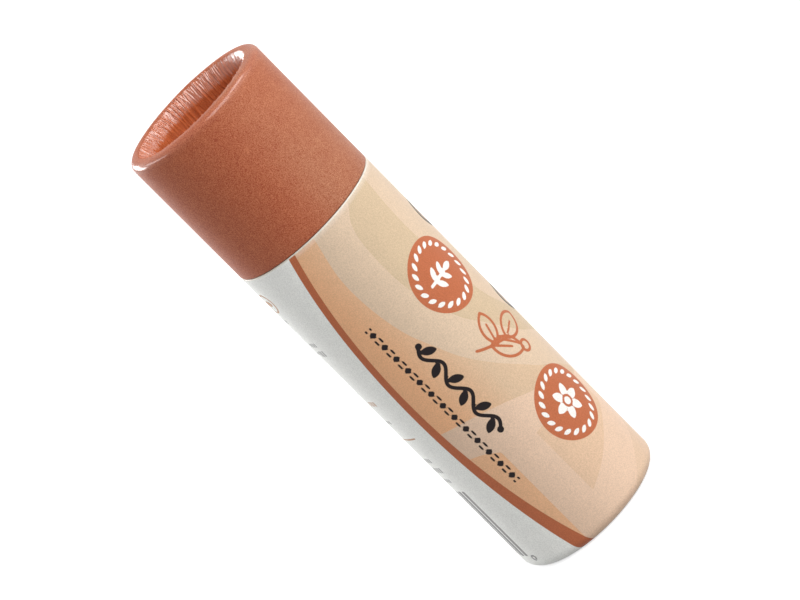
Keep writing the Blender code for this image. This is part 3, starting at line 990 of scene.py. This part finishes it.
liner_inner = radius_of("neck_liner") - LINER_PAPER
liner_outline = ring_outline("neck_liner", liner_inner, rounding=0.03 * MM, step=0.8 * MM)
angle = directions(LINER_COLUMNS)
liner_wave = ripple(angle, liner_outline[:, 1], (4, 6, 9), LINER_WAVE, seed=21)
neck_liner = turn_surface("neck_greaseproof", liner_outline[:, :1] + liner_wave, liner_outline[:, 1:], angle)
print(f"Six discs and a liner {2 * radius_of('neck_liner') / MM:.1f} mm across")

# %% [markdown]
# ## The balm
#
# The balm is poured hot into the lined neck, with the plunger already in it. It sets from the wall inwards and
# shrinks, so its top is a shallow dish with a soft edge, a faint swirl and a few faint rings. Its side is a cast of
# the liner: nearly smooth, with one line where the liner's edge was.

# %% Pour the balm
BALM_COLUMNS = 260
BALM_EDGE_ROUND = 0.45 * MM
BALM_DIP, DIP_POWER, DIP_SETTLE = 0.45 * MM, 2.4, 1.1
BALM_GAP = 0.06 * MM
RING_HEIGHT, RING_PACE = 0.012 * MM, 40.0
SWIRL_HEIGHT, CAST_WAVE = 0.03 * MM, 0.008 * MM
LINER_LINE_PLACE, LINER_LINE_DEPTH, LINER_LINE_WIDTH = 1.9, 0.03 * MM, 0.12 * MM

balm_edge, balm_foot, balm_top = radius_of("balm"), foot_of("balm"), top_of("balm")
plug_radius = collar_inner - BALM_GAP
ledge = top_of("push_collar") + BALM_GAP

reach = np.linspace(AXIS_SHARE, 1.0, 34)
dish_edge = balm_edge - BALM_EDGE_ROUND
dish = np.stack([dish_edge * reach, balm_top - BALM_DIP * (1.0 - reach**DIP_POWER) ** DIP_SETTLE], axis=1)
shoulder = bend((dish_edge, balm_top - BALM_EDGE_ROUND), BALM_EDGE_ROUND, 84, 0, 8)
below = [shoulder[-1], (balm_edge, ledge), (plug_radius, ledge), (plug_radius, balm_foot)]
below = rounded([*below, (AXIS_SHARE * plug_radius, balm_foot)], 0.1 * MM, False)
balm_outline = np.vstack([dish, shoulder, filled(below, 0.45 * MM, False)[1:]])

angle = directions(BALM_COLUMNS)
on_top = smooth(balm_outline[:, 1], balm_top - 1.2 * MM, balm_top - 0.5 * MM)[:, None]
out = balm_outline[:, :1] / balm_edge
rings = RING_HEIGHT * np.sin(RING_PACE * out**1.5 + 0.5 * np.cos(2 * angle)) * smooth(out, 0.15, 0.5)
swirl = ripple(angle, 3.0 * balm_outline[:, 0], (1, 2, 3), SWIRL_HEIGHT, seed=31)
swirl = swirl * np.sin(math.pi * out.clip(0, 1))
cast = ripple(angle, 0.3 * balm_outline[:, 1], (3, 5, 7), CAST_WAVE, seed=33)
from_line = turned_apart(angle, LINER_LINE_PLACE) * balm_edge
cast = cast - LINER_LINE_DEPTH * np.exp(-((from_line / LINER_LINE_WIDTH) ** 2))
radius = balm_outline[:, :1] + cast * (1.0 - on_top) * smooth(balm_outline[:, :1], 5 * MM, 7 * MM)
height = balm_outline[:, 1:] + (rings + swirl) * on_top
balm = turn_surface("balm_pour", radius, height, angle, closed=False)
print(f"Balm {2 * balm_edge / MM:.1f} mm across, from {balm_foot / MM:.1f} to {balm_top / MM:.1f} mm")

# %% [markdown]
# ## Materials as node trees
#
# A material is a small network: textures and stored distances go in at the left, and one Principled shader comes out
# at the right. A few helpers keep the network readable. One adds a node and fills its sockets, with numbers or with
# links. Others start and finish a node group, which is a network with its own sockets that several materials can
# share.

# %% Helpers for node trees
def fill_sockets(tree, node, inputs):
    """Give each input of a node, by name or place, a number, a colour, or a link from another node's output."""
    for name, value in inputs.items():
        if isinstance(value, bpy.types.NodeSocket):
            tree.links.new(value, node.inputs[name])
        else:
            node.inputs[name].default_value = value


def add_node(tree, kind, inputs=None, **settings):
    """Add a node and fill its sockets. Settings are the node's own options."""
    made = tree.nodes.new("ShaderNode" + kind)
    for name, value in settings.items():
        setattr(made, name, value)
    fill_sockets(tree, made, inputs or {})
    return made


def maths(tree, operation, *values):
    """One sum with numbers or sockets, such as MULTIPLY or MAXIMUM."""
    return add_node(tree, "Math", dict(enumerate(values)), operation=operation).outputs[0]


def remap(tree, value, low, high, out_low=0.0, out_high=1.0):
    """Bring a value from one range to another and hold it there."""
    places = {"Value": value, "From Min": low, "From Max": high, "To Min": out_low, "To Max": out_high}
    return add_node(tree, "MapRange", places).outputs[0]


def between(tree, share, at_none, at_full):
    """A number that goes from one value to another as a share goes from 0 to 1."""
    return remap(tree, share, 0.0, 1.0, at_none, at_full)


def spread(tree, value, out_low=0.0, out_high=1.0):
    """Bring the middle part of a noise, where most of its values lie, to a range."""
    return remap(tree, value, 0.3, 0.7, out_low, out_high)


def blend_colours(tree, share, first, second):
    """Mix two colours, each a tuple or a socket, by a share from 0 to 1."""
    return add_node(tree, "Mix", {0: share, 6: first, 7: second}, data_type="RGBA").outputs[2]


def noise(tree, place, scale, detail=2.0, roughness=0.5):
    """Soft random values from 0 to 1. A place in millimetres makes the scale a count of blobs per millimetre."""
    inputs = {"Vector": place, "Scale": scale, "Detail": detail, "Roughness": roughness}
    return add_node(tree, "TexNoise", inputs).outputs[0]


def stored(tree, name):
    """A number that the mesh keeps for each of its points."""
    return add_node(tree, "Attribute", attribute_name=name).outputs["Fac"]


def scaled(tree, vector, factor):
    """A place or a colour times one number."""
    return add_node(tree, "VectorMath", {0: vector, 3: factor}, operation="SCALE").outputs[0]


def place_in_mm(tree):
    """The place on the piece in millimetres, from its own coordinates."""
    return scaled(tree, add_node(tree, "TexCoord").outputs["Object"], 1000.0)


def start_group(name, inputs):
    """A node group. Each input has a label, a kind and perhaps a first value. Gives its tree and its inputs."""
    tree = bpy.data.node_groups.new(name, "ShaderNodeTree")
    for label, kind, *value in inputs:
        socket = tree.interface.new_socket(label, in_out="INPUT", socket_type="NodeSocket" + kind)
        if value:
            socket.default_value = value[0]
    return tree, tree.nodes.new("NodeGroupInput").outputs


def finish_group(tree, values):
    """End a node group in named outputs, each a number that changes over the surface."""
    for label in values:
        tree.interface.new_socket(label, in_out="OUTPUT", socket_type="NodeSocketFloat")
    fill_sockets(tree, tree.nodes.new("NodeGroupOutput"), values)


def use_group(tree, group, inputs):
    """Place a node group in a material and give it this material's values."""
    made = tree.nodes.new("ShaderNodeGroup")
    made.node_tree = group
    fill_sockets(tree, made, inputs)
    return made.outputs


def start_material(name):
    """A material with an empty network. Gives the material and its tree."""
    material = bpy.data.materials.new(name)
    material.use_nodes = True
    material.node_tree.nodes.clear()
    return material, material.node_tree


def finish_material(tree, sockets, height=None, depth=0.0):
    """End a network in a Principled shader. A height in millimetres becomes bump, up to a depth in millimetres."""
    if height is not None:
        bump = add_node(tree, "Bump", {"Height": height, "Distance": depth * MM, "Strength": 1.0})
        sockets["Normal"] = bump.outputs[0]
    shader = add_node(tree, "BsdfPrincipled", sockets)
    add_node(tree, "OutputMaterial", {"Surface": shader.outputs[0]})


# %% [markdown]
# ## Shared effects
#
# Printed and coloured papers both have a fine grain: the ink sinks into the fibres here more than there. Its tone, a
# number around 0.5 to vary the colour with, is two noises, one near the size of a fibre and one that varies over
# millimetres. A third noise is its height, for the bump. The second group is wear along an edge: where the stored
# distance to the edge is small and a noise is high, the surface is rubbed. The third is the fibres and flecks of
# kraft board.

# %% Paper grain, worn edges and board fibres
paper_grain, given = start_group(
    "paper_grain", [("Place", "Vector"), ("Fineness", "Float", 5.0), ("Mottle", "Float", 0.3)]
)
fine = noise(paper_grain, given["Place"], given["Fineness"], 1.0, 0.5)
coarse = noise(paper_grain, given["Place"], 0.55, 3.0, 0.6)
tone = add_node(paper_grain, "Mix", {0: given["Mottle"], 2: fine, 3: coarse}).outputs[0]
finish_group(paper_grain, {"Tone": tone, "Height": noise(paper_grain, given["Place"], 2.6, 5.0, 0.68)})

worn_edge, given = start_group(
    "worn_edge", [("Place", "Vector"), ("Distance", "Float", 1.0), ("Reach", "Float", 0.3), ("Amount", "Float", 0.5)]
)
patches = noise(worn_edge, given["Place"], 1.7, 4.0, 0.7)
edge_reach = maths(worn_edge, "MULTIPLY", given["Reach"], remap(worn_edge, patches, 0.4, 0.7, 0.05, 1.0))
near_edge = maths(worn_edge, "SUBTRACT", 1.0, maths(worn_edge, "DIVIDE", given["Distance"], edge_reach))
rubbed = maths(worn_edge, "MULTIPLY", remap(worn_edge, near_edge, 0.0, 0.6), given["Amount"])
finish_group(worn_edge, {"Mask": rubbed})

board_fibres, given = start_group("board_fibres", [("Place", "Vector"), ("Flecks", "Float", 0.5)])
stretch = add_node(board_fibres, "Mapping", {"Vector": given["Place"], "Scale": (1.0, 1.0, 3.2)}).outputs[0]
matted = noise(board_fibres, stretch, 2.1, 6.0, 0.72)
clouds = noise(board_fibres, given["Place"], 0.32, 2.0)
tone = add_node(board_fibres, "Mix", {0: 0.35, 2: matted, 3: clouds}).outputs[0]
dots = noise(board_fibres, stretch, 3.3, 2.0, 0.4)
fleck = maths(board_fibres, "MULTIPLY", remap(board_fibres, dots, 0.68, 0.74), given["Flecks"])
finish_group(board_fibres, {"Tone": tone, "Fleck": fleck, "Height": matted})
print("Node groups:", ", ".join(group.name for group in bpy.data.node_groups))

# %% [markdown]
# ## Terracotta paper
#
# The cap's paper is coloured right up to its edges and has a soft, dry shine. Seen along the surface it turns almost
# white, which a Principled shader does by itself when its roughness is moderate. The grain varies the colour by a few
# per cent, and a painted sheen pales it towards the lower right, the side the lamps light. The rim is rubbed a little
# paler in patches and burnished by handling: its clear coat grows over the crest and dies away down the side. In the
# recess the folds are much glossier, because the tool that rolled the rim pressed them. Their colour is redder, and
# lighter as painted light for the light that reaches into the recess, and the creases between them get painted shade.

# %% Terracotta paper
TERRACOTTA_DEEP = (0.28, 0.047, 0.0165, 1.0)
TERRACOTTA_PALE = (0.505, 0.157, 0.069, 1.0)
TERRACOTTA_RUBBED = (0.6, 0.23, 0.12, 1.0)
# The folds' colour is redder, and lighter as painted light for the light that reaches into the recess.
TERRACOTTA_FOLDS_LIT = (0.55, 0.145, 0.046, 1.0)
# Painted shade for the creases between the folds.
TERRACOTTA_CREASE_SHADE = (0.2, 0.03, 0.008, 1.0)
SHEEN_FACTORS = (0.96, 1.33, 1.62)
TONE_LOW, TONE_HIGH = 0.34, 0.66
COAT_PLAIN, COAT_RIM, COAT_FOLDS = 0.12, 0.4, 0.9
CREST_COAT_FROM, CREST_COAT_FULL = 0.3, 0.9
SIDE_COAT_FULL, SIDE_COAT_GONE = 1.3, 2.2
FOLDS_LIT_SHARE, CREASE_SHADE_SHARE, FOLDS_SMOOTHER = 0.6, 0.5, 0.16

cap_paper, tree = start_material("terracotta_paper")
place = place_in_mm(tree)
gathered, crease_shade, from_rim = stored(tree, "gathered"), stored(tree, "crease_shade"), stored(tree, "from_rim")
grain = use_group(tree, paper_grain, {"Place": place, "Fineness": 9.0, "Mottle": 0.12})
rub = use_group(tree, worn_edge, {"Place": place, "Distance": from_rim, "Reach": 1.2, "Amount": 0.12})

colour = blend_colours(tree, remap(tree, grain["Tone"], TONE_LOW, TONE_HIGH), TERRACOTTA_DEEP, TERRACOTTA_PALE)
colour = blend_colours(tree, rub["Mask"], colour, TERRACOTTA_RUBBED)
# Painted sheen: green and blue are lifted, so the colour turns paler and pinker where the stored sheen share is high.
painted_sheen = add_node(tree, "VectorMath", {0: colour, 1: SHEEN_FACTORS}, operation="MULTIPLY").outputs[0]
colour = blend_colours(tree, stored(tree, "painted_sheen"), colour, painted_sheen)
# Partly painted light: the gathered paper takes a redder colour, and a lighter one that stands in for light reaching
# into the recess.
colour = blend_colours(tree, between(tree, gathered, 0.0, FOLDS_LIT_SHARE), colour, TERRACOTTA_FOLDS_LIT)
# Painted shade: the creases between the folds are darkened.
colour = blend_colours(tree, between(tree, crease_shade, 0.0, CREASE_SHADE_SHARE), colour, TERRACOTTA_CREASE_SHADE)

roughness = spread(tree, grain["Height"], 0.42, 0.54)
roughness = maths(tree, "SUBTRACT", roughness, between(tree, gathered, 0.0, FOLDS_SMOOTHER))
to_crest = remap(tree, from_rim, CREST_COAT_FROM, CREST_COAT_FULL, COAT_PLAIN, COAT_RIM)
down_side = remap(tree, from_rim, SIDE_COAT_FULL, SIDE_COAT_GONE, COAT_RIM, COAT_PLAIN)
on_folds = between(tree, gathered, COAT_PLAIN, COAT_FOLDS)
coat = maths(tree, "MAXIMUM", maths(tree, "MINIMUM", to_crest, down_side), on_folds)
finish_material(tree, {
    "Base Color": colour, "Roughness": roughness, "Coat Weight": coat, "Coat Roughness": 0.15, "Coat IOR": 1.8,
    "Specular IOR Level": 0.1,
}, grain["Height"], 0.01)

# %% [markdown]
# ## Printed paper
#
# The label's network reads the stored distances one after another, in the order of printing: the peach ground and its
# waves, the white panel, then the inks. Each distance becomes a share of ink through the same narrow ramp, three
# hundredths of a millimetre to each side of the edge. Near the cut edge the ground is blended a little towards white,
# and at the edge itself the paper's own core shows.

# %% Printed paper
INK_EDGE = 0.03
PAPER_WHITE = (0.88, 0.885, 0.85, 1.0)
PAPER_CORE = (0.72, 0.68, 0.6, 1.0)
PEACH_LEFT = (0.8, 0.445, 0.245, 1.0)
PEACH_RIGHT = (0.63, 0.455, 0.305, 1.0)
PEACH_FROM, PEACH_TO = -5.0, 3.0
CORE_REACH, CORE_END, PALE_REACH, PALE_SHARE = 0.2, 0.28, 0.9, 0.28
GROUNDS = {
    "wave_pale": (0.66, 0.505, 0.365, 1.0),
    "wave_olive": (0.59, 0.45, 0.3, 1.0),
    "wave_low": (0.73, 0.53, 0.39, 1.0),
    "wave_corner": (0.77, 0.455, 0.265, 1.0),
    "wave_fold": (0.69, 0.483, 0.33, 1.0),
    "wave_foot": (0.69, 0.5, 0.355, 1.0),
}
INKS = {
    "olive": (0.075, 0.055, 0.04, 1.0),
    "terracotta": (0.47, 0.14, 0.062, 1.0),
    "white": (0.84, 0.82, 0.78, 1.0),
    "dark": (0.012, 0.008, 0.009, 1.0),
    "tan": (0.5, 0.28, 0.16, 1.0),
    "grey": (0.28, 0.27, 0.27, 1.0),
}

label_paper, tree = start_material("printed_paper")
place = place_in_mm(tree)
grain = use_group(tree, paper_grain, {"Place": place, "Fineness": 7.0, "Mottle": 0.15})


def ink_share(name):
    """How much ink lies at a point: 1 inside the shape, 0 outside, with a narrow ramp across its edge."""
    return remap(tree, stored(tree, name), -INK_EDGE, INK_EDGE, 1.0, 0.0)


from_cut = stored(tree, "from_cut")
to_right = remap(tree, stored(tree, "across"), PEACH_FROM, PEACH_TO)
colour = blend_colours(tree, to_right, PEACH_LEFT, PEACH_RIGHT)
for name, ground in GROUNDS.items():
    colour = blend_colours(tree, ink_share(name), colour, ground)
colour = blend_colours(tree, ink_share("front"), PAPER_WHITE, colour)
# Near the cut edge the ground is blended a little towards white.
pale = remap(tree, from_cut, CORE_REACH, PALE_REACH, PALE_SHARE, 0.0)
colour = blend_colours(tree, pale, colour, PAPER_WHITE)
for name, ink in INKS.items():
    colour = blend_colours(tree, ink_share(name), colour, ink)
core = remap(tree, from_cut, CORE_REACH, CORE_END, 1.0, 0.0)
colour = blend_colours(tree, core, colour, PAPER_CORE)
colour = scaled(tree, colour, remap(tree, grain["Tone"], TONE_LOW, TONE_HIGH, 0.89, 1.08))
roughness = spread(tree, grain["Height"], 0.38, 0.5)
finish_material(tree, {
    "Base Color": colour, "Roughness": roughness, "Coat Weight": 0.12, "Coat Roughness": 0.25,
    "Specular IOR Level": 0.08,
}, grain["Height"], 0.008)

# %% [markdown]
# ## Kraft board, greaseproof paper and balm
#
# Board is matted brown fibres with a few dark flecks. On its cut ends the plies show as fine rings, which a sine of
# the radius draws. Greaseproof paper is pale, dense and slightly shiny. Balm is a soft wax: light goes some way into
# it before it comes out, so it gets subsurface scattering, and tiny pits from air bubbles.

# %% Kraft board
KRAFT_DARK = (0.3, 0.175, 0.09, 1.0)
KRAFT_PALE = (0.52, 0.345, 0.205, 1.0)
KRAFT_FLECK = (0.16, 0.085, 0.045, 1.0)
KRAFT_GLUE = (0.24, 0.13, 0.065, 1.0)
PLY_PACE = 36.0
PLY_FROM, PLY_SHARE = 0.55, 0.6
SEAM_FROM, SEAM_TO, SEAM_SHARE = 0.03, 0.16, 0.75

board, tree = start_material("kraft_board")
place = place_in_mm(tree)
fibres = use_group(tree, board_fibres, {"Place": place, "Flecks": 0.55})
colour = blend_colours(tree, remap(tree, fibres["Tone"], 0.32, 0.68), KRAFT_DARK, KRAFT_PALE)
colour = blend_colours(tree, fibres["Fleck"], colour, KRAFT_FLECK)
flat = add_node(tree, "VectorMath", {0: place, 1: (1.0, 1.0, 0.0)}, operation="MULTIPLY").outputs[0]
reach = add_node(tree, "VectorMath", {0: flat}, operation="LENGTH").outputs["Value"]
plies = maths(tree, "SINE", maths(tree, "MULTIPLY", reach, PLY_PACE))
ply_line = maths(tree, "MULTIPLY", remap(tree, plies, PLY_FROM, 1.0, 0.0, PLY_SHARE), stored(tree, "end_face"))
seam_line = remap(tree, stored(tree, "from_seam"), SEAM_FROM, SEAM_TO, SEAM_SHARE, 0.0)
colour = blend_colours(tree, maths(tree, "MAXIMUM", ply_line, seam_line), colour, KRAFT_GLUE)
roughness = spread(tree, fibres["Tone"], 0.72, 0.88)
finish_material(tree, {"Base Color": colour, "Roughness": roughness}, fibres["Height"], 0.03)

# %% Greaseproof paper
GREASEPROOF_DEEP = (0.66, 0.6, 0.475, 1.0)
GREASEPROOF_PALE = (0.79, 0.745, 0.635, 1.0)

greaseproof, tree = start_material("greaseproof_paper")
place = place_in_mm(tree)
grain = use_group(tree, paper_grain, {"Place": place, "Fineness": 2.2, "Mottle": 0.5})
colour = blend_colours(tree, spread(tree, grain["Tone"]), GREASEPROOF_DEEP, GREASEPROOF_PALE)
roughness = spread(tree, grain["Height"], 0.24, 0.42)
finish_material(tree, {"Base Color": colour, "Roughness": roughness}, grain["Height"], 0.012)

# %% Balm
BALM_DEEP = (0.72, 0.61, 0.38, 1.0)
BALM_PALE = (0.8, 0.71, 0.5, 1.0)

balm_wax, tree = start_material("balm_wax")
place = place_in_mm(tree)
cloud = noise(tree, place, 0.35, 4.0, 0.6)
colour = blend_colours(tree, spread(tree, cloud), BALM_DEEP, BALM_PALE)
cells = add_node(tree, "TexVoronoi", {"Vector": place, "Scale": 1.1, "Randomness": 1.0}).outputs["Distance"]
pits = remap(tree, cells, 0.03, 0.09)
bloom = noise(tree, place, 3.5, 4.0, 0.6)
relief = add_node(tree, "Mix", {0: 0.3, 2: pits, 3: bloom}).outputs[0]
roughness = spread(tree, bloom, 0.32, 0.5)
finish_material(tree, {
    "Base Color": colour, "Roughness": roughness, "Subsurface Weight": 0.35,
    "Subsurface Radius": (1.0, 0.75, 0.45), "Subsurface Scale": 1.2 * MM,
}, relief, 0.02)
print("Materials:", ", ".join(material.name for material in bpy.data.materials if material.users))

# %% [markdown]
# ## Dressing the model
#
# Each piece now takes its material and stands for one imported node. It rides on that node's body, so that the cap can
# come off and the plunger can rise with everything on them.

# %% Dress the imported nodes
def dress(piece, node, body, material):
    """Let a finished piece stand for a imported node: it rides on the node's body and takes its finish."""
    piece.data.materials.append(material)
    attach(piece, body)
    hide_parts(node)
    print(f"{piece.name}: {sum(len(face.vertices) - 2 for face in piece.data.polygons)} triangles, for {node}")


dress(cap_wrap, "cap_wrap", "cap", cap_paper)
dress(cap_tube, "cap_tube", "cap", board)
dress(cap_end_paper, "cap_end_paper", "cap", cap_paper)
dress(cap_end_disc, "cap_end_disc", "cap", board)
dress(cap_seal_paper, "cap_seal_paper", "cap", greaseproof)
dress(body_wrap, "body_wrap", "tube", label_paper)
dress(body_tube, "body_tube", "tube", board)
dress(neck_tube, "neck_tube", "tube", board)
dress(neck_liner, "neck_liner", "tube", greaseproof)
dress(push_base_paper, "push_base_paper", "stick", board)
dress(push_collar, "push_collar", "stick", board)
dress(push_disc, "push_disc", "stick", board)
dress(push_liner, "push_liner", "stick", greaseproof)
dress(balm, "balm", "stick", balm_wax)

# %% [markdown]
# ## Floor and light
#
# The background of the photograph is plain white, and the camera looks down so far that all of it is floor. The floor
# is a wide disc of middle grey, so that it throws little light back up. To the camera and to mirrors it also glows,
# which lifts it to white but leaves the soft shadow of the stick. The world does the same: white to the eye, and much
# dimmer as light.
#
# Five soft lamps stand round the stick. The largest lights the front from the right, two shine on the right flank,
# from above and from low down, one from behind draws the bright line along the left edge, and a narrow one picks out
# the rim. Each is given by its direction round the stick, its angle above the floor, its distance, its width and
# height in metres and its power in watts.

# %% Floor
FLOOR_RADIUS = 4.0
FLOOR_RINGS = 24
FLOOR_THICKNESS = 0.02
FLOOR_GREY = (0.5, 0.5, 0.5, 1.0)
FLOOR_GLOW = 0.7
WHITE = (1.0, 1.0, 1.0, 1.0)


def seen_directly(tree):
    """One for rays that end in the eye, straight or by a mirror or glass, and zero for those that bring light."""
    path = add_node(tree, "LightPath").outputs
    seen = maths(tree, "MAXIMUM", path["Is Camera Ray"], path["Is Glossy Ray"])
    return maths(tree, "MAXIMUM", seen, path["Is Transmission Ray"])


floor_reach = FLOOR_RADIUS * np.append(np.linspace(0.01, 1.0, FLOOR_RINGS) ** 2, 1.0)
floor_height = np.append(np.zeros(FLOOR_RINGS), -FLOOR_THICKNESS)
floor = turn_surface("floor", floor_reach[:, None], floor_height[:, None], directions(96), closed=False)

floor_white, tree = start_material("floor_white")
glow = maths(tree, "MULTIPLY", seen_directly(tree), FLOOR_GLOW)
finish_material(tree, {
    "Base Color": FLOOR_GREY, "Roughness": 0.9, "Specular IOR Level": 0.0, "Emission Color": WHITE,
    "Emission Strength": glow,
})
floor.data.materials.append(floor_white)

# %% Lights
AIM = Vector((0.0, 0.0, 0.5 * CAP_TOP))
LAMPS = {
    "front_right_lamp": (28.0, 40.0, 0.7, 0.45, 0.45, 3.25),
    "right_lamp": (77.0, 44.0, 0.7, 0.36, 0.28, 2.1),
    "low_right_lamp": (68.0, 12.0, 0.6, 0.8, 0.22, 1.05),
    "back_left_lamp": (-143.0, 15.0, 0.6, 0.42, 0.14, 2.6),
    "rim_lamp": (-108.0, 35.0, 0.6, 0.5, 0.1, 0.85),
}
WORLD_FILL = 0.2


def add_lamp(name, direction, rise_angle, distance, width, height, power):
    """An area lamp in a direction round the stick and an angle above the floor, aimed at the stick's middle."""
    turn, rise = math.radians(direction), math.radians(rise_angle)
    way = Vector((math.sin(turn) * math.cos(rise), -math.cos(turn) * math.cos(rise), math.sin(rise)))
    data = bpy.data.lights.new(name, "AREA")
    data.shape = "RECTANGLE"
    data.size, data.size_y = width, height
    data.energy = power
    lamp = bpy.data.objects.new(name, data)
    lamp.location = AIM + way * distance
    lamp.rotation_euler = way.to_track_quat("Z", "Y").to_euler()
    bpy.context.scene.collection.objects.link(lamp)


for name, settings in LAMPS.items():
    add_lamp(name, *settings)

world = bpy.data.worlds.new("pale_room")
bpy.context.scene.world = world
world.use_nodes = True
tree = world.node_tree
tree.nodes.clear()
strength = between(tree, seen_directly(tree), WORLD_FILL, 1.0)
sky = add_node(tree, "Background", {"Color": WHITE, "Strength": strength})
add_node(tree, "OutputWorld", {"Surface": sky.outputs[0]})

bpy.context.scene.view_settings.view_transform = "Standard"
print("Lamps:", ", ".join(light.name for light in bpy.data.lights))
